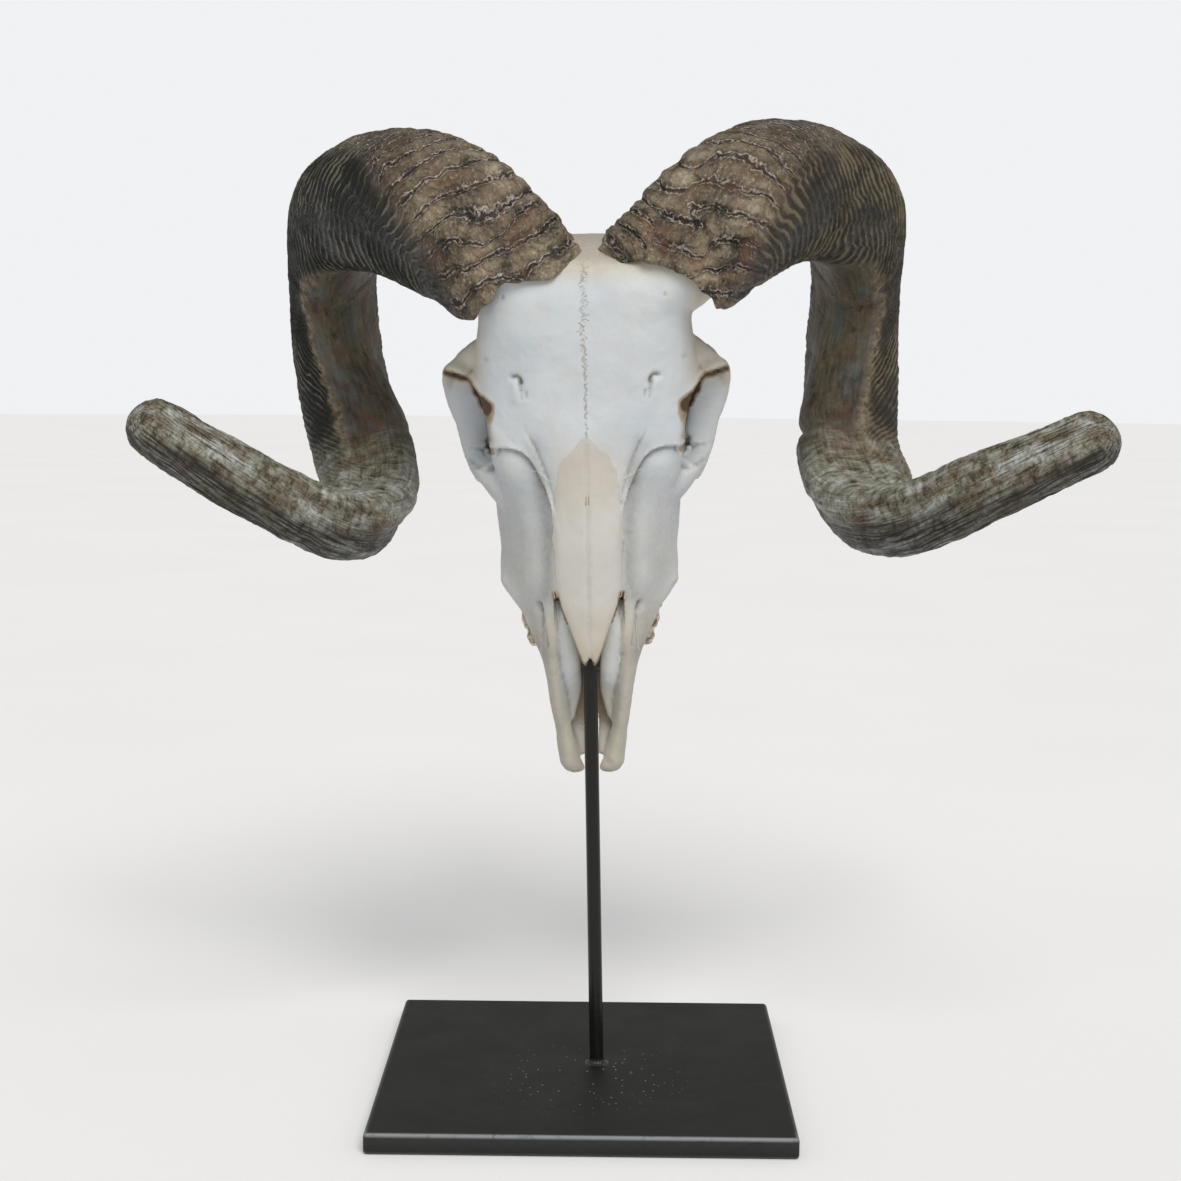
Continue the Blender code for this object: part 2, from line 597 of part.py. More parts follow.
def skull_blank():
    """The whole skull as one body, before it is parted into bones."""
    pieces = [head_block("head")]
    pieces.append(ball("nape", *NAPE_CREST))
    pieces.append(ball("floor", *SKULL_FLOOR))
    for side, rows in ((-1, HORN_LEFT), (1, HORN_RIGHT)):
        core = horn_core("core", rows, side)
        lean_over(core, back=True)
        pieces.append(core)
        pieces.append(bar("brow", EYEBROW, side))
        pieces.append(orbit_rim("rim", side))
        pieces.append(bar("cheek", CHEEK_BONE, side))
        pieces.append(bar("pterygoid", PTERYGOID, side))
        pieces.append(bar("spur", EAR_SPUR, side))
        pieces.append(ball("condyle", *CONDYLE, side))
        pieces.append(ball("bulla", *EAR_BULLA, side))
        pieces.append(ball("tuber", *CHEEK_TUBER, side))
    blank = joined("blank", pieces)
    fuse(blank, BONE_GRAIN)
    for side in (-1, 1):
        boolean(blank, orbit_hollow("hollow", side), "DIFFERENCE", "MANIFOLD")
    boolean(blank, nose_hollow("nose"), "DIFFERENCE", "MANIFOLD")
    boolean(blank, bar("spine", SPINE_HOLE, 1), "DIFFERENCE", "MANIFOLD")
    for side in (-1, 1):
        boolean(blank, prism("slit", NOSE_SLIT, -40, 12, side), "DIFFERENCE", "MANIFOLD")
    keep_largest(blank)
    extra = [blank]
    for side in (-1, 1):
        extra.append(bar("post", POSTORBITAL_BAR, side))
        extra.append(bar("muzzle", MUZZLE_BAR, side))
        extra.append(bar("muzzle_floor", MUZZLE_FLOOR, side))
        extra.append(bar("orbit_wall", ORBIT_WALL, side))
        extra.append(bar("turbinate", TURBINATE, side))
        extra.extend(tooth_row(side))
    blank = joined("skull", extra)
    fuse(blank, BONE_GRAIN)
    return blank


def fuse(item, grain):
    """Fuse overlapping closed meshes into one skin of even grain and soften it."""
    skin = item.modifiers.new("Skin", "REMESH")
    skin.mode = "VOXEL"
    skin.voxel_size = grain * MM
    soft = item.modifiers.new("Soften", "SMOOTH")
    soft.factor = 0.5
    soft.iterations = 2
    apply_modifiers(item)
    keep_largest(item)


def shell_of(item, by, name):
    """A copy of a body with its skin moved outwards by a distance."""
    mesh = item.data.copy()
    size = len(mesh.vertices)
    points = np.empty(size * 3)
    normals = np.empty(size * 3)
    mesh.vertices.foreach_get("co", points)
    mesh.vertices.foreach_get("normal", normals)
    mesh.vertices.foreach_set("co", points + normals * by * MM)
    mesh.update()
    copy = bpy.data.objects.new(name, mesh)
    bpy.context.collection.objects.link(copy)
    return copy


def thin(item, faces):
    """Bring a body down to about a number of faces."""
    fewer = item.modifiers.new("Thin", "DECIMATE")
    fewer.ratio = faces / len(item.data.polygons) / 2
    apply_modifiers(item)


def shade(item):
    """Shade a rounded piece smooth, with its sharp edges kept."""
    item.data.shade_smooth()
    item.data.set_sharp_from_angle(angle=math.radians(SHARP_ANGLE))


def duplicate(item, name):
    """A copy of an object with its own mesh."""
    copy = bpy.data.objects.new(name, item.data.copy())
    bpy.context.collection.objects.link(copy)
    return copy


def region(outlines, side, by):
    """A solid that covers a bone, from outlines with their front and back depths."""
    blocks = []
    for outline, front, back in outlines:
        block = prism("region", grown(outline, by), front, back + by, side)
        lean_over(block)
        blocks.append(block)
    whole = blocks[0]
    for block in blocks[1:]:
        boolean(whole, block, "UNION")
    return whole


def split_off(rest, name, outlines, side, finish):
    """Part one bone from the rest of the skull, a seam's gap apart."""
    bone = duplicate(rest, name)
    boolean(bone, region(outlines, side, -0.5 * GAP), "INTERSECT", "MANIFOLD")
    keep_largest(bone)
    boolean(rest, region(outlines, side, 0.5 * GAP), "DIFFERENCE", "MANIFOLD")
    bone.data.materials.clear()
    bone.data.materials.append(finish)
    shade(bone)


def plate(name, finish):
    """The square base plate with eased corners and edges."""
    mesh = bpy.data.meshes.new(name)
    work = bmesh.new()
    bmesh.ops.create_cube(work, size=1.0)
    bmesh.ops.scale(work, vec=(PLATE_SIDE * MM, PLATE_SIDE * MM, PLATE_THICK * MM), verts=work.verts)
    work.to_mesh(mesh)
    work.free()
    item = bpy.data.objects.new(name, mesh)
    bpy.context.collection.objects.link(item)
    item.location = (0, 0, 0.5 * PLATE_THICK * MM)
    ease = item.modifiers.new("Ease", "BEVEL")
    ease.width = PLATE_EDGE * MM
    ease.segments = 2
    mesh.materials.append(finish)


def rod_bar(name, top, radius, low=PLATE_THICK + GAP):
    """The rod or the bore that takes it."""
    rows = ((0, 0, low, radius, radius), (0, 0, top, radius, radius))
    return bar(name, rows, 1, rings=2, sides=24)


def main():
    """Build every piece."""
    clear_scene()
    bone = make_material("Bone", BONE_COLOUR, 0.6)
    nasal = make_material("Nasal bone", NASAL_COLOUR, 0.6)
    horn = make_material("Horn", HORN_COLOUR, 0.5)
    steel = make_material("Blackened steel", STEEL_COLOUR, 0.4, 0.8)

    skull = skull_blank()
    lean_over(skull)
    thin(skull, BONE_FACES)
    bore = rod_bar("bore", ROD_TOP_Z + GAP, ROD_RADIUS + GAP)
    lean_over(bore)
    boolean(skull, bore, "DIFFERENCE")
    outer = shell_of(skull, 1.3 * GAP, "outer")
    horns = (("horn_left", HORN_LEFT, RIM_LEFT, -1), ("horn_right", HORN_RIGHT, RIM_RIGHT, 1))
    for name, rows, rim, side in horns:
        sheath = horn_sheath(name, rows, rim, side)
        boolean(sheath, outer, "DIFFERENCE", discard=False)
        keep_largest(sheath)
        sheath.data.materials.append(horn)
        shade(sheath)
    bpy.data.objects.remove(outer, do_unlink=True)
    for side, end in ((-1, "left"), (1, "right")):
        split_off(skull, "nasal_" + end, ((NASAL_OUTLINE, -60, NASAL_BACK),), side, nasal)
    for side, end in ((-1, "left"), (1, "right")):
        split_off(skull, "premaxilla_" + end, PREMAXILLA_BLOCKS, side, bone)
        split_off(skull, "zygoma_" + end, ((ZYGOMA_OUTLINE, -60, 120),), side, bone)
        split_off(skull, "maxilla_" + end, ((MAXILLA_OUTLINE, -60, 120),), side, bone)
    keep_largest(skull)
    skull.name = "cranium"
    skull.data.materials.clear()
    skull.data.materials.append(bone)
    shade(skull)
    rod = rod_bar("stand_rod", ROD_TOP_Z, ROD_RADIUS)
    lean_over(rod)
    rod.data.materials.append(steel)
    shade(rod)
    plate("stand_base", steel)


if __name__ == "__main__":
    main()
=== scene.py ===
"""Finish of a life-size ram skull that hangs nose down on a rod above a square steel plate.

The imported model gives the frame. Each bone, both horn sheaths, the cheek teeth, the rod and the
plate are modelled here at a finer grain around it, in millimetres, and given their surfaces.
The skull is shaped upright and then leaned with its rod; x runs across, y away from the
forehead and z up.
"""

import logging
import math
from dataclasses import dataclass
from enum import Enum
from functools import partial
from typing import Any, Callable, Iterable, Sequence

import bmesh
import bpy
import numpy as np
from mathutils import Matrix


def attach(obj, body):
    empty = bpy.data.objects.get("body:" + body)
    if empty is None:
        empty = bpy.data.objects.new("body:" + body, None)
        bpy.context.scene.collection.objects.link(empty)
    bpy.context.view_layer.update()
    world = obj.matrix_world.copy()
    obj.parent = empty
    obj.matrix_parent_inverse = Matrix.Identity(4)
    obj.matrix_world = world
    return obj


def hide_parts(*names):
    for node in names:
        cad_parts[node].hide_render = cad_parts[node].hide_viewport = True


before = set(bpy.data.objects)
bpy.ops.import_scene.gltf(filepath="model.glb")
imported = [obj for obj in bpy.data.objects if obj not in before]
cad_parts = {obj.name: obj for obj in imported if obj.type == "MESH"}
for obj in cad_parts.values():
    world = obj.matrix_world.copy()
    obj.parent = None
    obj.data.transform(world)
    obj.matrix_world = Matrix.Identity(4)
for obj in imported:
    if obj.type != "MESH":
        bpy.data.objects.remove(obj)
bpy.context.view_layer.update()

LOG = logging.getLogger("ram_skull")
Array = np.ndarray
Table = Sequence[Sequence[float]]
Item = bpy.types.Object
Material = bpy.types.Material
Socket = bpy.types.NodeSocket
Adder = Callable[..., Socket]

MM = 0.001
PHOTO_SIDE = 1181
ROD_RADIUS = 3.5
ROD_TOP = 292.0
GRAIN = 1.04


class Side(Enum):
    """Left and right as the photograph shows them, with the sign of x."""

    LEFT = -1
    RIGHT = 1

    @property
    def word(self) -> str:
        """The side's name in a piece's name."""
        return self.name.lower()


class Slot(Enum):
    """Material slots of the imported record."""

    BONE = "bone"
    NASAL = "nasal_bone"
    HORN = "horn"
    STEEL = "stand_steel"


def smoothstep(low: float, high: float, value: Array) -> Array:
    """Rise from 0 at low to 1 at high along the cubic 3t^2 - 2t^3; it falls where high is below low."""
    share = np.clip((np.asarray(value, float) - low) / (high - low), 0.0, 1.0)
    return share * share * (3.0 - 2.0 * share)


def corner_values(cells: Array, seed: int) -> Array:
    """Give each whole-numbered point its own number from -1 to 1 by mixing its coordinates' bits.

    Args:
        cells: Whole-numbered points, shape (..., 3).
        seed: Picks another set of numbers.

    Returns:
        Numbers from -1 to 1, shape (...).
    """
    mask = 0xFFFFFFFF
    mixed = cells[..., 0] * 73856093 ^ cells[..., 1] * 19349663 ^ cells[..., 2] * 83492791
    mixed = (mixed ^ seed * 97531357) & mask
    mixed = (((mixed >> 16) ^ mixed) * 0x45D9F3B) & mask
    mixed = (((mixed >> 16) ^ mixed) * 0x45D9F3B) & mask
    return ((mixed >> 16) ^ mixed) / 2147483647.5 - 1.0


def lumps(points: Array, size: float | Sequence[float], octaves: int = 1, seed: int = 0) -> Array:
    """Soft random lumps: cell corners' numbers blended by the quintic 6t^5 - 15t^4 + 10t^3.

    Args:
        points: Places in millimetres, shape (..., 3).
        size: Lump size in millimetres, one for all axes or one for each.
        octaves: How many layers are added, each half the size and half the strength.
        seed: Picks another pattern.

    Returns:
        Values from about -1 to 1, shape (...).
    """
    total = np.zeros(points.shape[:-1])
    strength = 1.0
    scale = np.broadcast_to(np.asarray(size, float), (3,)).copy()
    for octave in range(octaves):
        scaled = points / scale
        cell = np.floor(scaled).astype(np.int64)
        share = scaled - cell
        share = share ** 3 * (share * (share * 6 - 15) + 10)
        for corner in np.ndindex(2, 2, 2):
            weight = np.prod(np.where(np.array(corner), share, 1.0 - share), axis=-1)
            total += strength * weight * corner_values(cell + np.array(corner), seed + 17 * octave)
        strength *= 0.5
        scale *= 0.5
    return total


def open_weights(knots: Array, at: Array) -> Array:
    """Weights of each knot for a smooth open curve: cubic Hermite with mean slopes as tangents.

    Args:
        knots: Rising knot positions, shape (k,).
        at: Positions to read, shape (n,).

    Returns:
        Weights, shape (n, k).
    """
    knots = np.asarray(knots, float)
    at = np.asarray(at, float)
    size = len(knots)
    eye = np.eye(size)
    slope = (eye[1:] - eye[:-1]) / np.diff(knots)[:, None]
    before = np.diff(knots)[:-1, None]
    after = np.diff(knots)[1:, None]
    tangent = np.repeat(slope[:1], size, axis=0)
    tangent[1:-1] = (after * slope[:-1] + before * slope[1:]) / (before + after)
    tangent[0] = 2 * slope[0] - tangent[1] if size > 2 else slope[0]
    tangent[-1] = 2 * slope[-1] - tangent[-2] if size > 2 else slope[-1]
    cell = np.clip(np.searchsorted(knots, at, side="right") - 1, 0, size - 2)
    span = np.diff(knots)[cell][:, None]
    t = (at[:, None] - knots[cell][:, None]) / span
    return (
        (2 * t ** 3 - 3 * t ** 2 + 1) * eye[cell]
        + (t ** 3 - 2 * t ** 2 + t) * span * tangent[cell]
        + (3 * t ** 2 - 2 * t ** 3) * eye[cell + 1]
        + (t ** 3 - t ** 2) * span * tangent[cell + 1]
    )


def ring_weights(size: int, count: int) -> Array:
    """Weights of each corner for a smooth closed curve: a Catmull-Rom spline that wraps round.

    Args:
        size: Number of corners.
        count: Number of points read round the curve.

    Returns:
        Weights, shape (count, size).
    """
    at = np.arange(count) * size / count
    cell = at.astype(int)
    t = (at - cell)[:, None]
    eye = np.eye(size)
    return (
        (-0.5 * t + t ** 2 - 0.5 * t ** 3) * eye[(cell - 1) % size]
        + (1 - 2.5 * t ** 2 + 1.5 * t ** 3) * eye[cell % size]
        + (0.5 * t + 2 * t ** 2 - 1.5 * t ** 3) * eye[(cell + 1) % size]
        + (0.5 * t ** 3 - 0.5 * t ** 2) * eye[(cell + 2) % size]
    )


def read_along(place: Array, values: Array, where: Array) -> Array:
    """Read columns of values known at some rising distances at others, in straight steps."""
    return np.stack([np.interp(where, place, values[:, k]) for k in range(values.shape[1])], -1)


def length_along(line: Array) -> Array:
    """Running length of a line of points, starting at zero."""
    return np.r_[0.0, np.cumsum(np.linalg.norm(np.diff(line, axis=0), axis=1))]


def round_angles(count: int) -> Array:
    """Evenly spaced angles of one full turn."""
    return np.linspace(0, 2 * math.pi, count, endpoint=False)


def unit(vectors: Array) -> Array:
    """Rows of vectors brought to a length of one."""
    return vectors / np.linalg.norm(vectors, axis=1, keepdims=True)


def link_object(name: str, data: bpy.types.ID) -> Item:
    """Make an object from some data and put it into the scene.

    Args:
        name: Name of the object.
        data: Its mesh, camera or light.

    Returns:
        The object.
    """
    item = bpy.data.objects.new(name, data)
    bpy.context.collection.objects.link(item)
    return item


def new_object(name: str, points: Array, faces: Array | Iterable[Sequence[int]]) -> Item:
    """Make a mesh object from points in millimetres, its faces turned outwards.

    Args:
        name: Name of the object and its mesh.
        points: Corner places, shape (n, 3).
        faces: Corner numbers of each face.

    Returns:
        The new object, in millimetres.
    """
    mesh = bpy.data.meshes.new(name)
    mesh.from_pydata(np.asarray(points).tolist(), [], [list(map(int, face)) for face in faces])
    work = bmesh.new()
    work.from_mesh(mesh)
    bmesh.ops.recalc_face_normals(work, faces=work.faces)
    work.to_mesh(mesh)
    work.free()
    return link_object(name, mesh)


def wall_faces(count: int, sides: int, closed: bool = False) -> Array:
    """Four-cornered faces between neighbouring rings of points.

    Args:
        count: Number of rings.
        sides: Points in a ring.
        closed: Whether the last ring meets the first.

    Returns:
        Corner numbers, shape (faces, 4).
    """
    ring, side = np.meshgrid(np.arange(count if closed else count - 1), np.arange(sides), indexing="ij")
    here, there, after = ring * sides, (ring + 1) % count * sides, (side + 1) % sides
    return np.stack([here + side, here + after, there + after, there + side], -1).reshape(-1, 4)


def ring_tube(name: str, rings: Array) -> Item:
    """Skin rings of points into a closed tube, each end closed to its ring's middle.

    Args:
        name: Name of the object.
        rings: Points, shape (rings, sides, 3).

    Returns:
        The closed tube.
    """
    count, sides = rings.shape[:2]
    points = np.concatenate([rings.reshape(-1, 3), rings[:1].mean(1), rings[-1:].mean(1)])
    around = np.arange(sides)
    turn = (around + 1) % sides
    last = (count - 1) * sides
    low = np.stack([np.full(sides, count * sides), turn, around], -1)
    high = np.stack([np.full(sides, count * sides + 1), last + around, last + turn], -1)
    return new_object(name, points, [*wall_faces(count, sides).tolist(), *low.tolist(), *high.tolist()])


def read_corners(item: Item, what: str = "co") -> Array:
    """Places ("co") or normals ("normal") of the corners of an object's mesh.

    Args:
        item: The object.
        what: Which of the two.

    Returns:
        Vectors, shape (n, 3).
    """
    values = np.empty(len(item.data.vertices) * 3)
    item.data.vertices.foreach_get(what, values)
    return values.reshape(-1, 3)


def read_edges(item: Item) -> Array:
    """Read which corners each edge of an object's mesh joins.

    Args:
        item: The object.

    Returns:
        Corner numbers, shape (n, 2).
    """
    edges = np.empty(len(item.data.edges) * 2, dtype=np.int64)
    item.data.edges.foreach_get("vertices", edges)
    return edges.reshape(-1, 2)


def write_points(item: Item, points: Array) -> None:
    """Put corner places, shape (n, 3), back into an object's mesh."""
    item.data.vertices.foreach_set("co", np.ascontiguousarray(points, dtype=float).ravel())
    item.data.update()


def write_attribute(item: Item, name: str, values: Array) -> None:
    """Store a number or a vector at each corner of a mesh.

    Args:
        item: The object.
        name: Name of the attribute.
        values: Shape (n,) for numbers or (n, 3) for vectors.
    """
    vector = values.ndim == 2
    layer = item.data.attributes.new(name, "FLOAT_VECTOR" if vector else "FLOAT", "POINT")
    layer.data.foreach_set("vector" if vector else "value", values.astype(np.float32).ravel())


def softened(values: Array, edges: Array, rounds: int, amount: Array | float = 1.0) -> Array:
    """Move each corner's values towards the mean of its neighbours, a number of times.

    Args:
        values: Values at the corners, shape (n, c).
        edges: Corner numbers of each edge.
        rounds: How many times.
        amount: Share of the way, one for all or one for each corner.

    Returns:
        Softened values, shape (n, c).
    """
    count = len(values)
    ends = np.r_[edges[:, 0], edges[:, 1]]
    others = np.r_[edges[:, 1], edges[:, 0]]
    degree = np.maximum(np.bincount(ends, minlength=count), 1)
    share = np.broadcast_to(np.asarray(amount, float), (count,))[:, None]
    for _ in range(rounds):
        mean = np.stack(
            [np.bincount(ends, values[others, k], count) / degree for k in range(values.shape[1])], -1
        )
        values = values + share * (mean - values)
    return values


def apply_modifiers(item: Item) -> None:
    """Replace an object's mesh by what its modifiers make of it.

    Args:
        item: The object.
    """
    graph = bpy.context.evaluated_depsgraph_get()
    mesh = bpy.data.meshes.new_from_object(item.evaluated_get(graph))
    item.modifiers.clear()
    item.data = mesh


def boolean(item: Item, other: Item, operation: str) -> None:
    """Cut or join an object with another closed one, apply it and drop the other.

    Args:
        item: The object that changes.
        other: The tool.
        operation: DIFFERENCE, INTERSECT or UNION.
    """
    change = item.modifiers.new(operation.title(), "BOOLEAN")
    change.operation = operation
    change.solver = "MANIFOLD"
    change.object = other
    apply_modifiers(item)
    bpy.data.objects.remove(other, do_unlink=True)


def keep_largest(item: Item) -> None:
    """Drop every closed surface of a mesh but the one with the most corners.

    Each corner takes the lowest number among its neighbours until nothing changes.

    Args:
        item: The object.
    """
    edges = read_edges(item)
    label = np.arange(len(item.data.vertices))
    while True:
        lowest = label.copy()
        np.minimum.at(lowest, edges[:, 0], label[edges[:, 1]])
        np.minimum.at(lowest, edges[:, 1], label[edges[:, 0]])
        lowest = lowest[lowest]
        if np.array_equal(lowest, label):
            break
        label = lowest
    best = np.bincount(label).argmax()
    if np.all(label == best):
        return
    work = bmesh.new()
    work.from_mesh(item.data)
    work.verts.ensure_lookup_table()
    loose = [work.verts[int(number)] for number in np.flatnonzero(label != best)]
    bmesh.ops.delete(work, geom=loose, context="VERTS")
    work.to_mesh(item.data)
    work.free()


def joined(name: str, items: Sequence[Item]) -> Item:
    """Put the meshes of several objects into one and drop the several.

    Args:
        name: Name of the new object.
        items: Objects to join.

    Returns:
        The new object.
    """
    work = bmesh.new()
    for item in items:
        work.from_mesh(item.data)
    mesh = bpy.data.meshes.new(name)
    work.to_mesh(mesh)
    work.free()
    for item in items:
        bpy.data.objects.remove(item, do_unlink=True)
    return link_object(name, mesh)


def fuse(item: Item, grain: float, rounds: int) -> None:
    """Fuse overlapping closed meshes into one skin of even grain and soften it.

    Args:
        item: The object.
        grain: Size of the skin's squares in millimetres.
        rounds: How many times the skin is softened.
    """
    skin = item.modifiers.new("Skin", "REMESH")
    skin.mode = "VOXEL"
    skin.voxel_size = grain
    soft = item.modifiers.new("Soften", "SMOOTH")
    soft.factor = 0.5
    soft.iterations = rounds
    apply_modifiers(item)
    keep_largest(item)


def near_path(flat: Array, path: Table) -> tuple[Array, Array]:
    """Distance of flat points from a line through a few corners, to its nearest stretch.

    Args:
        flat: Points, shape (n, 2).
        path: Corners of the line.

    Returns:
        Distances, and 1 for points on the left of the nearest stretch or -1 on its right.
    """
    corners = np.asarray(path, float)
    best = np.full(len(flat), np.inf)
    side = np.ones(len(flat))
    for start, end in zip(corners[:-1], corners[1:]):
        step = end - start
        share = np.clip((flat - start) @ step / (step @ step), 0.0, 1.0)
        offset = flat - start - share[:, None] * step
        reach = np.linalg.norm(offset, axis=1)
        turn = np.sign(step[0] * (flat - start)[:, 1] - step[1] * (flat - start)[:, 0])
        side = np.where(reach < best, turn, side)
        best = np.minimum(best, reach)
    return best, side


def ellipse_bar(rows: Table, side: int, rings: int = 60, sides: int = 28) -> Array:
    """Rings of a bar that follows a smooth curve with an oval section, its width across the curve.

    Args:
        rows: Points along the middle as (across, depth, height, half width, half depth).
        side: Sign of x.
        rings: Number of sections.
        sides: Points in a section.

    Returns:
        Rings of points, shape (rings, sides, 3).
    """
    table = np.array(rows, float)
    table[:, 0] *= side
    reach = length_along(table[:, :3])
    table = open_weights(reach, np.linspace(0, reach[-1], rings)) @ table
    middle = table[:, :3]
    forward = unit(np.gradient(middle, axis=0))
    depth = np.tile(np.array([0.0, 1.0, 0.0]), (rings, 1))
    depth = unit(depth - (depth * forward).sum(1, keepdims=True) * forward)
    width = np.cross(forward, depth)
    angle = round_angles(sides)
    return (
        middle[:, None]
        + (table[:, 3:4] * np.cos(angle))[..., None] * width[:, None]
        + (table[:, 4:5] * np.sin(angle))[..., None] * depth[:, None]
    )


def soft_box(middle: Sequence[float], radii: Sequence[float], axes: Table, square: float = 1.0,
             rows: int = 20, sides: int = 32) -> Array:
    """Rings of a superellipsoid: sines and cosines of two angles raised to a power.

    Args:
        middle: Its middle.
        radii: Half sizes along its own axes.
        axes: Its own axes, one a row.
        square: Power; 1 gives an ellipsoid, lower ones a squarer block.
        rows: Number of rings.
        sides: Points in a ring.

    Returns:
        Rings of points, shape (rows - 2, sides, 3).
    """
    turn = round_angles(sides)
    rise = np.linspace(-0.5 * math.pi, 0.5 * math.pi, rows)[1:-1]

    def power(values: Array) -> Array:
        """Raise the size of each value to the power and keep its sign."""
        return np.sign(values) * np.abs(values) ** square

    local = np.stack(
        [
            radii[0] * power(np.cos(rise))[:, None] * power(np.cos(turn)),
            radii[1] * power(np.cos(rise))[:, None] * power(np.sin(turn)),
            radii[2] * power(np.sin(rise))[:, None] * np.ones(sides),
        ],
        -1,
    )
    return local @ np.array(axes, float) + np.array(middle, float)


def linear(code: str) -> tuple[float, float, float, float]:
    """Turn an sRGB hex colour into linear light.

    Args:
        code: The colour, such as "#c9c8c4".

    Returns:
        Linear red, green and blue, and an alpha of 1.
    """
    levels = np.array([int(code[k:k + 2], 16) for k in (1, 3, 5)]) / 255.0
    levels = np.where(levels <= 0.04045, levels / 12.92, ((levels + 0.055) / 1.055) ** 2.4)
    return (*map(float, levels), 1.0)


MATH = "ShaderNodeMath"


class Kind(Enum):
    """Shader nodes in use: type, settings, the inputs that values go to in turn, and the output."""

    PLACE = ("ShaderNodeTexCoord", {}, (), "Object")
    STORED = ("ShaderNodeAttribute", {}, (), "Fac")
    STORED_PLACE = ("ShaderNodeAttribute", {}, (), "Vector")
    SEEN = ("ShaderNodeLightPath", {}, (), "Is Camera Ray")
    STRETCH = ("ShaderNodeMapping", {}, ("Vector", "Scale"), 0)
    COMBINE = ("ShaderNodeCombineXYZ", {}, (0, 1, 2), 0)
    ACROSS = ("ShaderNodeSeparateXYZ", {}, (0,), 0)
    DEPTH = ("ShaderNodeSeparateXYZ", {}, (0,), 1)
    HEIGHT = ("ShaderNodeSeparateXYZ", {}, (0,), 2)
    DISTANCE = ("ShaderNodeVectorMath", {"operation": "DISTANCE"}, (0, 1), "Value")
    NOISE = ("ShaderNodeTexNoise", {}, ("Vector", "Scale", "Detail", "Roughness", "Distortion"), 0)
    SPECKS = ("ShaderNodeTexVoronoi", {}, ("Vector", "Scale"), "Distance")
    SPECK_TONE = ("ShaderNodeTexVoronoi", {}, ("Vector", "Scale"), "Color")
    FIRST_TONE = ("ShaderNodeSeparateColor", {}, (0,), 0)
    RANGE = ("ShaderNodeMapRange", {}, (0, 1, 2, 3, 4), 0)
    EASE = ("ShaderNodeMapRange", {"interpolation_type": "SMOOTHSTEP"}, (0, 1, 2, 3, 4), 0)
    RAMP = ("ShaderNodeValToRGB", {}, (0,), 0)
    MIX = ("ShaderNodeMix", {"data_type": "RGBA"}, (0, 6, 7), 2)
    BUMP = ("ShaderNodeBump", {}, ("Height", "Distance", "Strength", "Normal"), 0)
    ADD = (MATH, {"operation": "ADD"}, (0, 1), 0)
    SUBTRACT = (MATH, {"operation": "SUBTRACT"}, (0, 1), 0)
    MULTIPLY = (MATH, {"operation": "MULTIPLY"}, (0, 1), 0)
    MULTIPLY_ADD = (MATH, {"operation": "MULTIPLY_ADD"}, (0, 1, 2), 0)
    POWER = (MATH, {"operation": "POWER"}, (0, 1), 0)
    MAXIMUM = (MATH, {"operation": "MAXIMUM"}, (0, 1), 0)
    GREATER = (MATH, {"operation": "GREATER_THAN"}, (0, 1), 0)
    ABSOLUTE = (MATH, {"operation": "ABSOLUTE"}, (0,), 0)
    FRACT = (MATH, {"operation": "FRACT"}, (0,), 0)
    COSINE = (MATH, {"operation": "COSINE"}, (0,), 0)


def add_node(tree: bpy.types.NodeTree, kind: Kind, *values: Any, stops: Sequence[tuple[float, str]] = (),
             **settings: Any) -> Socket:
    """Add a shader node with its settings, its constants and its links.

    Args:
        tree: Node tree of a material or the world.
        kind: The node's type, usual settings, inputs and output.
        values: Constant or output socket for each of its inputs, in the kind's order.
        stops: Place and sRGB colour of each stop, for a colour ramp.
        settings: The node's own settings.

    Returns:
        The output that the kind names.
    """
    node_type, usual, inputs, output = kind.value
    made = tree.nodes.new(node_type)
    for key, value in {**usual, **settings}.items():
        setattr(made, key, value)
    for key, value in zip(inputs, values):
        if isinstance(value, Socket):
            tree.links.new(value, made.inputs[key])
        else:
            made.inputs[key].default_value = value
    for number, (place, code) in enumerate(stops):
        elements = made.color_ramp.elements
        element = elements[number] if number < len(elements) else elements.new(1.0)
        element.position = place
        element.color = linear(code)
    return made.outputs[output]


def new_material(name: str) -> tuple[Material, bpy.types.Node, Adder]:
    """Start a material with its Principled shader.

    Args:
        name: Name of the material.

    Returns:
        The material, its shader and the function that adds a node to its tree.
    """
    made = bpy.data.materials.new(name)
    made.use_nodes = True
    return made, made.node_tree.nodes["Principled BSDF"], partial(add_node, made.node_tree)


def dress_shader(shader: bpy.types.Node, add: Adder, colour: Socket, rough: Socket,
                 layers: Sequence[tuple[Socket, float]]) -> None:
    """Link a finish to its shader: colour, roughness and bumps stacked from coarse to fine.

    Args:
        shader: The Principled shader.
        add: Adds a node to its tree.
        colour: Base colour.
        rough: Roughness.
        layers: Height from 0 to 1 and real depth in millimetres of each bump.
    """
    normal = []
    for height, depth_mm in layers:
        normal = [add(Kind.BUMP, height, depth_mm * MM, 1.0, *normal)]
    for name, socket in (("Base Color", colour), ("Roughness", rough), ("Normal", normal[0])):
        shader.id_data.links.new(socket, shader.inputs[name])


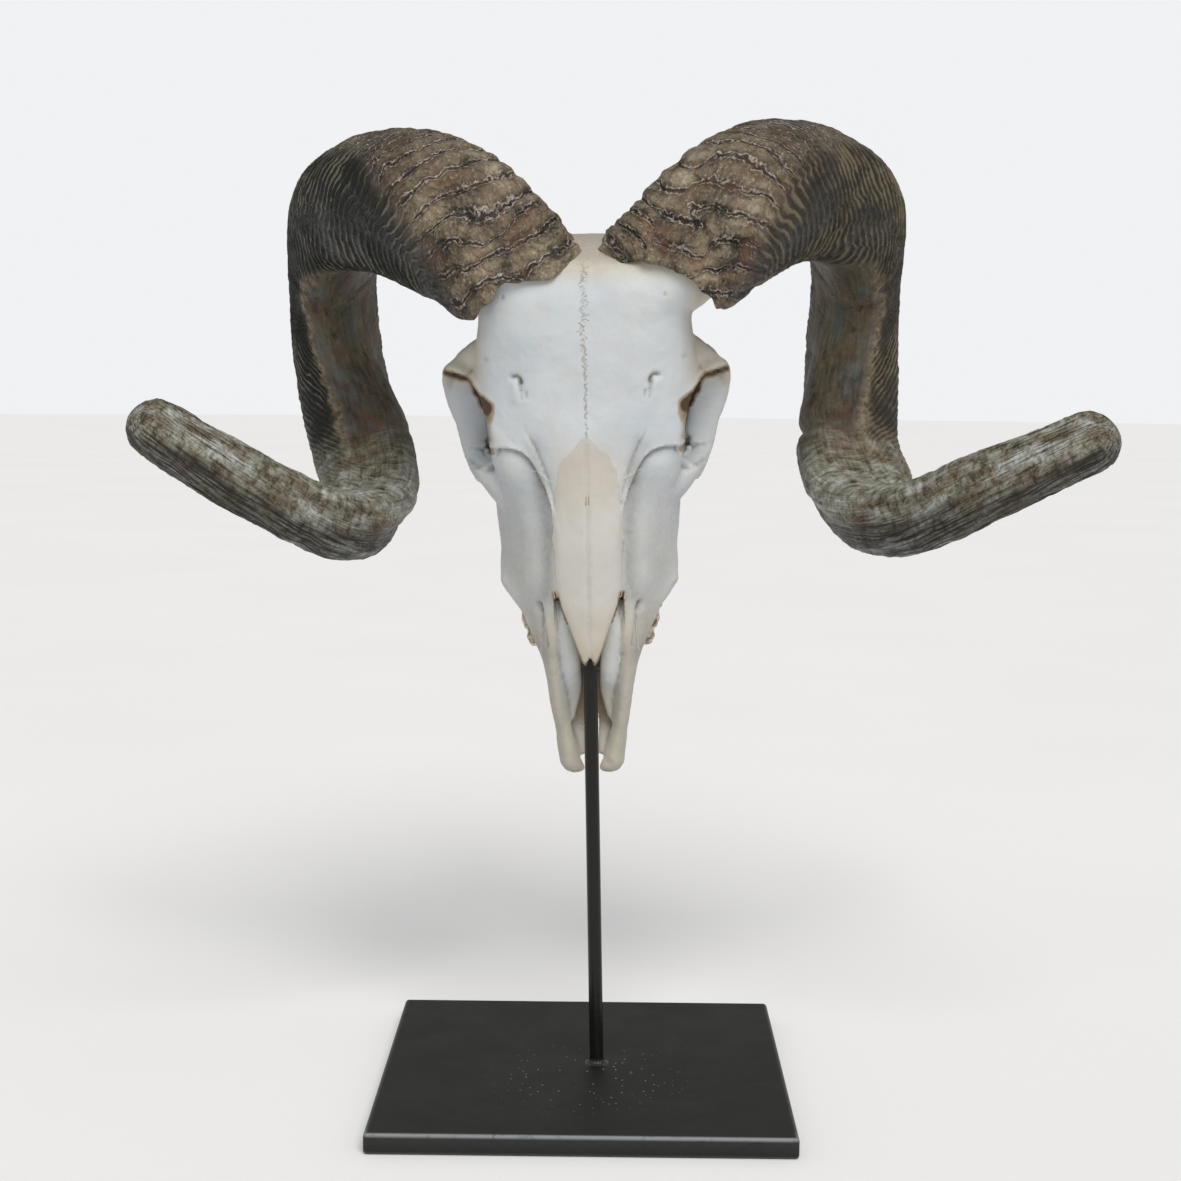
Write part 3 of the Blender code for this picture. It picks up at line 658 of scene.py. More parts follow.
@dataclass(frozen=True)
class DryBone:
    """Dry, degreased bone: chalky and cool on the broad faces, creamier where the fat stayed.

    Bone scatters a little light below its surface and has no gloss, so its edges look soft.
    Numbers stored in the mesh say where shade is painted into hollows and over the cheeks,
    muzzle and crown, where it is stained or deep shade is painted brown, and where it is
    creamy. The seam of the forehead stands at its foot at height 0 and leans with the skull.
    """

    name: str = "Dry bleached bone"
    pale: str = "#d0d5d8"
    cool: str = "#c6cdd3"
    cream: str = "#c6c0b2"
    shade: str = "#87857e"
    tan: str = "#a08a6c"
    brown: str = "#49331f"
    seam: str = "#9a8b76"
    seam_foot: float = 0.00675
    seam_lean: float = 0.0247
    roughness: float = 0.52
    suture: bool = True

    def material(self) -> Material:
        """Build the material: colour by clouds, stains and painted shade, fine pores and lumps as bump.

        Returns:
            The material.
        """
        made, shader, add = new_material(self.name)
        where = add(Kind.PLACE)
        broad = add(Kind.EASE, add(Kind.NOISE, where, 1 / (38 * MM), 3, 0.55), 0.38, 0.64)
        patch = add(Kind.EASE, add(Kind.NOISE, where, 1 / (13 * MM), 4, 0.6, 0.4), 0.48, 0.72)
        colour = add(Kind.MIX, broad, linear(self.pale), linear(self.cool))
        creamy = add(Kind.MULTIPLY, patch, 0.22)
        creamy = add(Kind.ADD, add(Kind.STORED, attribute_name="cream"), creamy, use_clamp=True)
        colour = add(Kind.MIX, creamy, colour, linear(self.cream))
        fine = add(Kind.NOISE, where, 1 / (2.4 * MM), 5, 0.65)
        # Painted shade: the stored hollow number darkens recesses, the cheeks, the muzzle and the crown
        # towards the shade colour.
        hollow = add(Kind.EASE, fine, 0.3, 0.6, 0.78, 1.0)
        hollow = add(Kind.MULTIPLY, add(Kind.STORED, attribute_name="hollow"), hollow, use_clamp=True)
        colour = add(Kind.MIX, hollow, colour, linear(self.shade))
        # Real brown stains and painted deep shade share this number: tan where weak, brown where strong.
        ragged = add(Kind.NOISE, where, 1 / (3.2 * MM), 5, 0.7, 0.6)
        ragged = add(Kind.MULTIPLY, add(Kind.SUBTRACT, ragged, 0.5), 0.5)
        stain_and_shade = add(Kind.ADD, add(Kind.STORED, attribute_name="stain_and_shade"), ragged)
        colour = add(Kind.MIX, add(Kind.EASE, stain_and_shade, 0.16, 0.5, 0.0, 0.9), colour, linear(self.tan))
        colour = add(Kind.MIX, add(Kind.EASE, stain_and_shade, 0.5, 0.95), colour, linear(self.brown))
        # Painted shade in small pits, dotted over the bone.
        pit = add(Kind.EASE, add(Kind.SPECKS, where, 1 / (9 * MM)), 0.045, 0.018)
        colour = add(Kind.MIX, add(Kind.MULTIPLY, pit, 0.5), colour, linear(self.shade))
        # The real pores are a tenth of a millimetre wide, too fine to show, so these are wider.
        pores = add(Kind.NOISE, where, 1 / (0.7 * MM), 3, 0.6)
        layers = [(add(Kind.NOISE, where, 1 / (7 * MM), 3, 0.55), 0.35), (fine, 0.12), (pores, 0.06)]
        if self.suture:
            seam = self.suture_line(add, where)
            colour = add(Kind.MIX, seam, colour, linear(self.seam))
            layers.append((add(Kind.SUBTRACT, 1.0, seam), 0.4))
        rough = add(Kind.EASE, fine, 0.3, 0.7, self.roughness - 0.08, self.roughness + 0.12)
        shader.inputs["Subsurface Weight"].default_value = 0.08
        shader.inputs["Subsurface Radius"].default_value = (0.004, 0.003, 0.002)
        dress_shader(shader, add, colour, rough, layers)
        return made

    def suture_line(self, add: Adder, where: Socket) -> Socket:
        """The interlocking seam down the middle of the forehead, drawn as a wandering broken line.

        Args:
            add: Adds a node.
            where: Place in metres.

        Returns:
            Strength of the line from 0 to 1.
        """
        height = add(Kind.HEIGHT, where)
        lean = add(Kind.MULTIPLY, height, self.seam_lean)
        across = add(Kind.SUBTRACT, add(Kind.ADD, add(Kind.ACROSS, where), lean), self.seam_foot)
        wide = add(Kind.EASE, height, 0.350, 0.382, 0.0013, 0.0046)
        tracks = []
        for start, period, share in ((3.1, 2.6, 1.0), (4.1, 1.7, -0.8)):
            swing = add(Kind.NOISE, add(Kind.COMBINE, start, 0.0, height), 1 / (period * MM), 2, 0.7)
            swing = add(Kind.MULTIPLY, add(Kind.SUBTRACT, swing, 0.5), 4.2 * share)
            off = add(Kind.SUBTRACT, across, add(Kind.MULTIPLY, swing, wide))
            tracks.append(add(Kind.EASE, add(Kind.ABSOLUTE, off), 0.00055, 0.00020))
        dots = add(Kind.EASE, add(Kind.NOISE, where, 1 / (1.6 * MM), 2, 0.6), 0.44, 0.58, 0.12, 1.0)
        front = add(Kind.EASE, add(Kind.DEPTH, where), 0.006, -0.004)
        low, high = add(Kind.EASE, height, 0.322, 0.328), add(Kind.EASE, height, 0.414, 0.402)
        span = add(Kind.MULTIPLY, front, add(Kind.MULTIPLY, low, high))
        line = add(Kind.MULTIPLY, add(Kind.MULTIPLY, add(Kind.MAXIMUM, *tracks), dots), span)
        return add(Kind.MULTIPLY, line, 0.6, use_clamp=True)


@dataclass(frozen=True)
class ToothEnamel:
    """Cheek teeth: ivory enamel, glossy where clean, with brown streaks and blotches."""

    name: str = "Stained tooth enamel"
    light: str = "#cfc4ab"
    dark: str = "#6e5a41"

    def material(self) -> Material:
        """Build the material: upright streaks of stain on a glossy ivory.

        Returns:
            The material.
        """
        made, shader, add = new_material(self.name)
        where = add(Kind.PLACE)
        streak = add(Kind.NOISE, add(Kind.STRETCH, where, (1.0, 0.25, 1.0)), 1 / (2.2 * MM), 4, 0.6)
        blotch = add(Kind.NOISE, where, 1 / (5.5 * MM), 3, 0.55)
        dirt = add(Kind.EASE, add(Kind.ADD, streak, blotch), 0.85, 1.2)
        colour = add(Kind.MIX, dirt, linear(self.light), linear(self.dark))
        rough = add(Kind.EASE, dirt, 0.0, 1.0, 0.28, 0.6)
        dress_shader(shader, add, colour, rough, [(streak, 0.25)])
        return made


@dataclass(frozen=True)
class HornGrain:
    """What the faces of one horn share: its place and faces, clouds of several sizes, rolls and ribs."""

    where: Socket
    age: Socket
    front: Socket
    inner: Socket
    mottle: Socket
    patch: Socket
    warm: Socket
    grit: Socket
    small: Socket
    fibres: Socket
    tone: Socket
    rolls: Socket
    ribs: Socket
    tipward: Socket


@dataclass(frozen=True)
class HornKeratin:
    """Horn: layered keratin, waxy on the crests, dull and flaking in the furrows.

    The mesh carries a straightened place (distance along the horn first), the counts of rolls and
    ribs, how far each corner belongs to the front and the inner face, and how far it faces down, for
    painted shade on the underside.
    """

    name: str = "Weathered horn keratin"
    frontal: tuple = (
        (0.05, "#1f1a13"), (0.28, "#43392c"), (0.52, "#6d614d"), (0.76, "#8d8068"), (1.0, "#b6aa90"),
    )
    lateral: tuple = ((0.12, "#0c0c09"), (0.42, "#181812"), (0.72, "#2d2c22"), (1.0, "#666456"))
    thin: float = 4.5
    medial: tuple = ((0.36, "#2a261e"), (0.45, "#443c2f"), (0.55, "#5d5544"), (0.66, "#80775f"))
    tip: tuple = (
        (0.38, "#2a261e"), (0.44, "#554e3e"), (0.48, "#787363"), (0.53, "#95968a"), (0.59, "#bcc0bd"),
    )
    warm: str = "#65472f"
    old: str = "#2c261d"
    rusty: str = "#5a3f28"
    gloom: str = "#201e19"
    chill: str = "#596160"
    dab: str = "#67502f"
    fibre: str = "#2b261c"
    growth: str = "#211d16"
    furrow: str = "#1c160f"
    flake: str = "#b3a79c"
    glint: str = "#bdb8ac"
    grown: str = "#a6a28f"
    ridge: str = "#8f8066"
    underside: str = "#211e18"

    def line(self, add: Adder, phase: Socket, at: float, half: float) -> Socket:
        """A thin line once in each wave, at a share of the wave and with half its breadth as a share."""
        part = add(Kind.FRACT, add(Kind.ADD, phase, 0.5 - at))
        return add(Kind.EASE, add(Kind.ABSOLUTE, add(Kind.SUBTRACT, part, 0.5)), half, 0.35 * half)

    def grain(self, add: Adder) -> HornGrain:
        """Set out the patterns that all faces share. Those stretched along the horn follow its growth.

        Args:
            add: Adds a node.

        Returns:
            The patterns.
        """
        where = add(Kind.STORED_PLACE, attribute_name="straight")
        age = add(Kind.STORED, attribute_name="age")
        mottle = add(Kind.NOISE, add(Kind.STRETCH, where, (0.7, 1.0, 1.0)), 1 / (9 * MM), 5, 0.65, 0.8)
        patch = add(Kind.NOISE, add(Kind.STRETCH, where, (0.55, 1.0, 1.0)), 1 / (24 * MM), 4, 0.6, 0.6)
        grit = add(Kind.NOISE, where, 1 / (1.2 * MM), 4, 0.7)
        small = add(Kind.NOISE, where, 1 / (4.0 * MM), 3, 0.6)
        coarse_tone = add(Kind.MULTIPLY_ADD, mottle, 1.3, -0.65)
        fine_tone = add(Kind.MULTIPLY_ADD, grit, 0.8, -0.4)
        bent_rolls = add(Kind.MULTIPLY_ADD, small, 0.55, -0.27)
        bent_ribs = add(Kind.MULTIPLY_ADD, mottle, 0.9, -0.45)
        return HornGrain(
            where=where,
            age=age,
            front=add(Kind.STORED, attribute_name="front"),
            inner=add(Kind.STORED, attribute_name="inner"),
            mottle=mottle,
            patch=patch,
            warm=add(Kind.EASE, add(Kind.NOISE, where, 1 / (13 * MM), 3, 0.55), 0.48, 0.64, 0.0, 0.5),
            grit=grit,
            small=small,
            # Keratin fibres are a tenth of a millimetre wide; these are drawn coarse enough to show.
            fibres=add(Kind.NOISE, add(Kind.STRETCH, where, (0.08, 1.0, 1.0)), 1 / (1.6 * MM), 5, 0.65),
            tone=add(Kind.ADD, coarse_tone, fine_tone),
            rolls=add(Kind.ADD, add(Kind.STORED, attribute_name="rolls"), bent_rolls),
            ribs=add(Kind.ADD, add(Kind.STORED, attribute_name="ribs"), bent_ribs),
            tipward=add(Kind.EASE, add(Kind.MULTIPLY_ADD, patch, 0.2, age), 0.68, 0.84),
        )

    def front_face(self, add: Adder, grain: HornGrain) -> Socket:
        """Colour of the front: paler on the crest of each roll, mottled, darker with age.

        Args:
            add: Adds a node.
            grain: Patterns of the horn.

        Returns:
            The colour.
        """
        part = add(Kind.FRACT, grain.rolls)
        lobe = add(Kind.MULTIPLY, add(Kind.EASE, part, 0.0, 0.3), add(Kind.EASE, part, 1.0, 0.62))
        dusk = add(Kind.ADD, grain.tone, add(Kind.MULTIPLY_ADD, grain.patch, 1.3, -0.65))
        value = add(Kind.ADD, add(Kind.MULTIPLY_ADD, lobe, 0.42, 0.16), dusk)
        colour = add(Kind.MIX, grain.warm, add(Kind.RAMP, value, stops=self.frontal), linear(self.warm))
        older = add(Kind.EASE, add(Kind.MULTIPLY_ADD, grain.patch, 0.12, grain.age), 0.17, 0.28, 0.0, 0.68)
        return add(Kind.MIX, older, colour, linear(self.old))

    def outer_face(self, add: Adder, grain: HornGrain, rib: Socket) -> Socket:
        """Colour of the outer side: dark, with a paler crest on each fine rib.

        Args:
            add: Adds a node.
            grain: Patterns of the horn.
            rib: Height of the ribs.

        Returns:
            The colour.
        """
        kept = add(Kind.EASE, grain.patch, 0.36, 0.62, 0.25, 0.8)
        crest = add(Kind.MULTIPLY, add(Kind.POWER, rib, self.thin), kept)
        value = add(Kind.ADD, crest, add(Kind.MULTIPLY, grain.patch, 0.6))
        return add(Kind.RAMP, add(Kind.ADD, value, add(Kind.MULTIPLY, grain.tone, 0.6)), stops=self.lateral)

    def inner_face(self, add: Adder, grain: HornGrain) -> Socket:
        """Colour of the inner side: streaks along the horn with rusty, dark and cold clouds.

        Args:
            add: Adds a node.
            grain: Patterns of the horn.

        Returns:
            The colour.
        """
        streak = add(Kind.ADD, add(Kind.MULTIPLY, grain.patch, 0.45), add(Kind.MULTIPLY, grain.fibres, 0.35))
        streak = add(Kind.ADD, streak, add(Kind.MULTIPLY, grain.mottle, 0.2))
        colour = add(Kind.RAMP, streak, stops=self.medial)
        for code, drawn, size, detail, roughness, warp, low, high, most in (
            (self.rusty, 0.6, 17, 3, 0.6, 0.0, 0.52, 0.64, 0.6),
            (self.gloom, 0.5, 12, 4, 0.65, 0.5, 0.55, 0.66, 0.7),
            (self.chill, 0.45, 15, 3, 0.6, 0.0, 0.52, 0.64, 0.6),
        ):
            place = add(Kind.STRETCH, grain.where, (drawn, 1.0, 1.0))
            cloud = add(Kind.NOISE, place, 1 / (size * MM), detail, roughness, warp)
            colour = add(Kind.MIX, add(Kind.EASE, cloud, low, high, 0.0, most), colour, linear(code))
        return colour

    def tip_face(self, add: Adder, grain: HornGrain) -> Socket:
        """Colour of the smooth outer half: pale grey and tan, dabbed brown, with dark fibres at the end.

        Args:
            add: Adds a node.
            grain: Patterns of the horn.

        Returns:
            The colour.
        """
        dabs = add(Kind.NOISE, add(Kind.STRETCH, grain.where, (2.2, 0.7, 0.7)), 1 / (6.5 * MM), 5, 0.7, 0.3)
        broad = add(Kind.NOISE, add(Kind.STRETCH, grain.where, (0.55, 0.9, 0.9)), 1 / (13 * MM), 4, 0.65, 0.4)
        value = add(Kind.ADD, add(Kind.MULTIPLY, dabs, 0.45), add(Kind.MULTIPLY, grain.fibres, 0.2))
        value = add(Kind.ADD, value, add(Kind.MULTIPLY, broad, 0.35))
        dab = add(Kind.ADD, add(Kind.MULTIPLY, dabs, 0.45), add(Kind.MULTIPLY, grain.warm, 0.12))
        dab = add(Kind.EASE, add(Kind.MULTIPLY_ADD, broad, -0.35, dab), 0.07, 0.15, 0.0, 0.55)
        colour = add(Kind.MIX, dab, add(Kind.RAMP, value, stops=self.tip), linear(self.dab))
        lines = add(Kind.EASE, grain.age, 0.86, 0.93, 0.15, 0.8)
        lines = add(Kind.MULTIPLY, add(Kind.EASE, grain.fibres, 0.47, 0.40), lines)
        return add(Kind.MIX, lines, colour, linear(self.fibre))

    def growth_lines(self, add: Adder, grain: HornGrain) -> Socket:
        """Strength of the dark lines that cross the outer side and the tip, once in each rib.

        Args:
            add: Adds a node.
            grain: Patterns of the horn.

        Returns:
            Strength from 0 to 1.
        """
        lines = self.line(add, grain.ribs, 0.75, 0.13)
        lines = add(Kind.MULTIPLY, lines, add(Kind.EASE, grain.small, 0.5, 0.62))
        bare = add(Kind.MAXIMUM, add(Kind.SUBTRACT, 1.0, grain.inner), add(Kind.MULTIPLY, grain.tipward, 0.8))
        return add(Kind.MULTIPLY, lines, bare, use_clamp=True)

    def furrows(self, add: Adder, grain: HornGrain) -> Socket:
        """Strength of the dark furrow between two rolls of the front, broken by the mottling.

        Args:
            add: Adds a node.
            grain: Patterns of the horn.

        Returns:
            Strength from 0 to 1.
        """
        lines = self.line(add, grain.rolls, 0.0, 0.05)
        lines = add(Kind.MULTIPLY, lines, add(Kind.EASE, grain.front, 0.3, 0.9, 0.0, 0.6))
        lines = add(Kind.MULTIPLY, lines, add(Kind.EASE, grain.mottle, 0.42, 0.56, 0.35, 1.0))
        return add(Kind.MULTIPLY, lines, add(Kind.EASE, grain.age, 0.45, 0.7, 1.0, 0.0), use_clamp=True)

    def flakes(self, add: Adder, grain: HornGrain) -> Socket:
        """Strength of the pale flaking lips on both sides of a furrow and of a finer set across them.

        Args:
            add: Adds a node.
            grain: Patterns of the horn.

        Returns:
            Strength from 0 to 1.
        """
        lips = self.line(add, grain.rolls, 0.08, 0.045)
        lips = add(Kind.MAXIMUM, lips, self.line(add, grain.rolls, 0.90, 0.035))
        second = add(Kind.MULTIPLY, add(Kind.STORED, attribute_name="rolls"), 1.5)
        second = add(Kind.ADD, second, add(Kind.MULTIPLY, grain.small, 2.4))
        lips = add(Kind.MAXIMUM, lips, add(Kind.MULTIPLY, self.line(add, second, 0.4, 0.05), 0.7))
        lips = add(Kind.MULTIPLY, lips, add(Kind.EASE, grain.grit, 0.38, 0.52, 0.35, 1.0))
        lips = add(Kind.MULTIPLY, lips, add(Kind.EASE, grain.mottle, 0.38, 0.5, 0.1, 1.0))
        lips = add(Kind.MULTIPLY, lips, add(Kind.EASE, grain.front, 0.25, 0.9, 0.0, 0.95))
        return add(Kind.MULTIPLY, lips, add(Kind.EASE, grain.age, 0.5, 0.72, 1.0, 0.2), use_clamp=True)

    def material(self) -> Material:
        """Build the material: the faces' colours, then lines, furrows, flakes, painted glints and painted
        shade on the underside.

        Returns:
            The material.
        """
        made, shader, add = new_material(self.name)
        grain = self.grain(add)
        wave = add(Kind.COSINE, add(Kind.MULTIPLY, grain.ribs, 2 * math.pi))
        rib = add(Kind.MULTIPLY_ADD, wave, 0.5, 0.5)
        crossing, flake = self.growth_lines(add, grain), self.flakes(add, grain)
        ridge = add(Kind.EASE, grain.small, 0.4, 0.58, 0.2, 0.85)
        ridge = add(Kind.MULTIPLY, add(Kind.STORED, attribute_name="edge"), ridge)
        # Painted glints: pale specks on the front, where the grit noise peaks.
        glint = add(Kind.EASE, grain.front, 0.2, 0.8, 0.0, 0.4)
        glint = add(Kind.MULTIPLY, add(Kind.EASE, grain.grit, 0.58, 0.68), glint)
        grown = self.line(add, grain.ribs, 0.2, 0.07)
        grown = add(Kind.MULTIPLY, grown, add(Kind.EASE, grain.mottle, 0.44, 0.56))
        begins, ends = add(Kind.EASE, grain.age, 0.62, 0.68), add(Kind.EASE, grain.age, 0.9, 0.78)
        grown = add(Kind.MULTIPLY, grown, add(Kind.MULTIPLY, begins, ends))
        grown = add(Kind.MULTIPLY, grown, 0.45, use_clamp=True)
        # Painted shade on the underside of the outer half, where the surface faces down.
        shade = add(Kind.EASE, grain.fibres, 0.44, 0.6, 0.95, 0.5)
        shade = add(Kind.MULTIPLY, add(Kind.STORED, attribute_name="under"), shade)
        colour = self.outer_face(add, grain, rib)
        for share, over in (
            (grain.front, self.front_face(add, grain)),
            (grain.inner, self.inner_face(add, grain)),
            (ridge, linear(self.ridge)),
            (grain.tipward, self.tip_face(add, grain)),
            (add(Kind.MULTIPLY, crossing, 0.45), linear(self.growth)),
            (self.furrows(add, grain), linear(self.furrow)),
            (flake, linear(self.flake)),
            (glint, linear(self.glint)),
            (grown, linear(self.grown)),
            (shade, linear(self.underside)),
        ):
            colour = add(Kind.MIX, share, colour, over)
        gloss = add(Kind.ADD, add(Kind.MULTIPLY, grain.grit, 0.7), add(Kind.MULTIPLY, grain.patch, 0.5))
        rough = add(Kind.EASE, gloss, 0.42, 0.75, 0.22, 0.58)
        outward = add(Kind.SUBTRACT, 1.0, add(Kind.MAXIMUM, grain.inner, grain.tipward), use_clamp=True)
        ribbed = add(Kind.MULTIPLY, rib, outward)
        shader.inputs["Specular IOR Level"].default_value = 0.3
        layers = [(grain.mottle, 0.9), (flake, 0.3), (crossing, -0.25), (ribbed, 0.3), (grain.fibres, 0.5),
                  (grain.grit, 0.5)]
        dress_shader(shader, add, colour, rough, layers)
        return made


@dataclass(frozen=True)
class BlackenedSteel:
    """Hot-blackened mild steel: satin charcoal oxide, rubbed to bright metal along its edges, with a painted
    highlight along the plate's front top edge.

    The oxide skin isn't bare metal, so it is a dark satin dielectric, and metal shows where it is rubbed
    through.
    """

    name: str = "Blackened mild steel"
    dark: str = "#151610"
    light: str = "#191a15"
    worn: str = "#8c9092"
    dust: str | None = "#a7a8a2"
    dust_middle: tuple = (0.004, -0.020, 0.01)
    roughness: float = 0.5

    def material(self) -> Material:
        """Build the material: cloudy oxide, fine scratches, rubbed edges with a painted highlight, and dust
        round the rod's foot.

        Returns:
            The material.
        """
        made, shader, add = new_material(self.name)
        where = add(Kind.PLACE)
        oxide = add(Kind.NOISE, where, 1 / (30 * MM), 5, 0.6)
        grit = add(Kind.NOISE, where, 1 / (0.9 * MM), 4, 0.7)
        colour = add(Kind.MIX, add(Kind.EASE, oxide, 0.35, 0.65), linear(self.dark), linear(self.light))
        # Rubbed edges and a painted highlight along the plate's front top edge share this pale colour.
        worn = add(Kind.EASE, add(Kind.NOISE, where, 1 / (6 * MM), 5, 0.7), 0.30, 0.46, 0.45, 1.0)
        worn = add(Kind.MULTIPLY, add(Kind.STORED, attribute_name="worn"), worn, use_clamp=True)
        colour = add(Kind.MIX, worn, colour, linear(self.worn))
        rough = add(Kind.ADD, oxide, add(Kind.MULTIPLY, grit, 0.4))
        rough = add(Kind.EASE, rough, 0.5, 0.9, self.roughness - 0.03, self.roughness + 0.06)
        if self.dust:
            colour = add(Kind.MIX, self.specks(add, where), colour, linear(self.dust))
        shader.inputs["Metallic"].default_value = 0.0
        shader.inputs["Specular IOR Level"].default_value = 0.28
        waves = add(Kind.NOISE, where, 1 / (14 * MM), 3, 0.55)
        dress_shader(shader, add, colour, rough, [(waves, 0.12), (grit, 0.05)])
        return made

    def specks(self, add: Adder, where: Socket) -> Socket:
        """Grains of dust on top of the plate, thinning out away from the rod's foot.

        Args:
            add: Adds a node.
            where: Place in metres.

        Returns:
            Strength from 0 to 1.
        """
        level = add(Kind.FIRST_TONE, add(Kind.SPECK_TONE, where, 1 / (3.5 * MM)))
        speck = add(Kind.EASE, add(Kind.SPECKS, where, 1 / (3.5 * MM)), 0.16, 0.09)
        speck = add(Kind.MULTIPLY, speck, add(Kind.GREATER, level, 0.3))
        reach = add(Kind.DISTANCE, where, self.dust_middle)
        speck = add(Kind.MULTIPLY, speck, add(Kind.EASE, reach, 0.066, 0.018))
        speck = add(Kind.MULTIPLY, speck, add(Kind.GREATER, add(Kind.HEIGHT, where), 0.0095))
        return add(Kind.MULTIPLY, speck, 0.8)


@dataclass
class Mark:
    """A raised or sunk stroke on the front of the skull, or a step with one long side.

    The side is 0 for a stroke, 1 for a step that falls away on the path's left and -1 for one
    that falls away on its right.
    """

    path: Table
    width: float
    rise: float
    side: int = 0
    mirrored: bool = True
    back: float = 60.0
    top: float = 900.0

    def height(self, flat: Array) -> Array:
        """Rise at flat points: a bell across a stroke, a steep edge and a long fade for a step.

        Args:
            flat: Points as (across, height), shape (n, 2).

        Returns:
            Rise in millimetres, shape (n,).
        """
        reach, turn = near_path(flat, self.path)
        if self.side == 0:
            return self.rise * np.exp(-((reach / self.width) ** 2))
        signed = reach * turn * self.side
        fade = smoothstep(self.top, self.top - 16, flat[:, 1])
        far = np.exp(-np.clip(signed, 0, None) / self.width)
        return self.rise * fade * smoothstep(-0.9, 0.9, signed) * far


@dataclass
class Ledger:
    """Places finished pieces in the frame and keeps count of them."""

    lean_degrees: float = 1.4
    foot: tuple[float, float, float] = (6.5, 0.0, 10.0)
    count: int = 0

    def lean(self) -> Matrix:
        """Turn about the rod's foot that sets the upright skull at its lean.

        Returns:
            The turn, for places in millimetres.
        """
        foot = Matrix.Translation(self.foot)
        origin = Matrix.Translation((0.0, 0.0, -self.foot[2]))
        return foot @ Matrix.Rotation(-math.radians(self.lean_degrees), 4, "Y") @ origin

    def place(self, item: Item, material: Material, slot: Slot,
              nodes: Sequence[str] = (), leaned: bool = True, sharp: float = 50.0) -> None:
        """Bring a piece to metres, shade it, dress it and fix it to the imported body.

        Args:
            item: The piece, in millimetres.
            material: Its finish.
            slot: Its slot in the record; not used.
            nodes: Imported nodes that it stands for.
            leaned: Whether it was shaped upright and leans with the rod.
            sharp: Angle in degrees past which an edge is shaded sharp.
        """
        if leaned:
            item.data.transform(self.lean())
        item.data.transform(Matrix.Scale(MM, 4))
        item.data.shade_smooth()
        item.data.set_sharp_from_angle(angle=math.radians(sharp))
        item.data.materials.clear()
        item.data.materials.append(material)
        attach(item, "root")
        if nodes:
            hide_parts(*nodes)
        self.count += 1
        LOG.info("%s: %d faces", item.name, len(item.data.polygons))


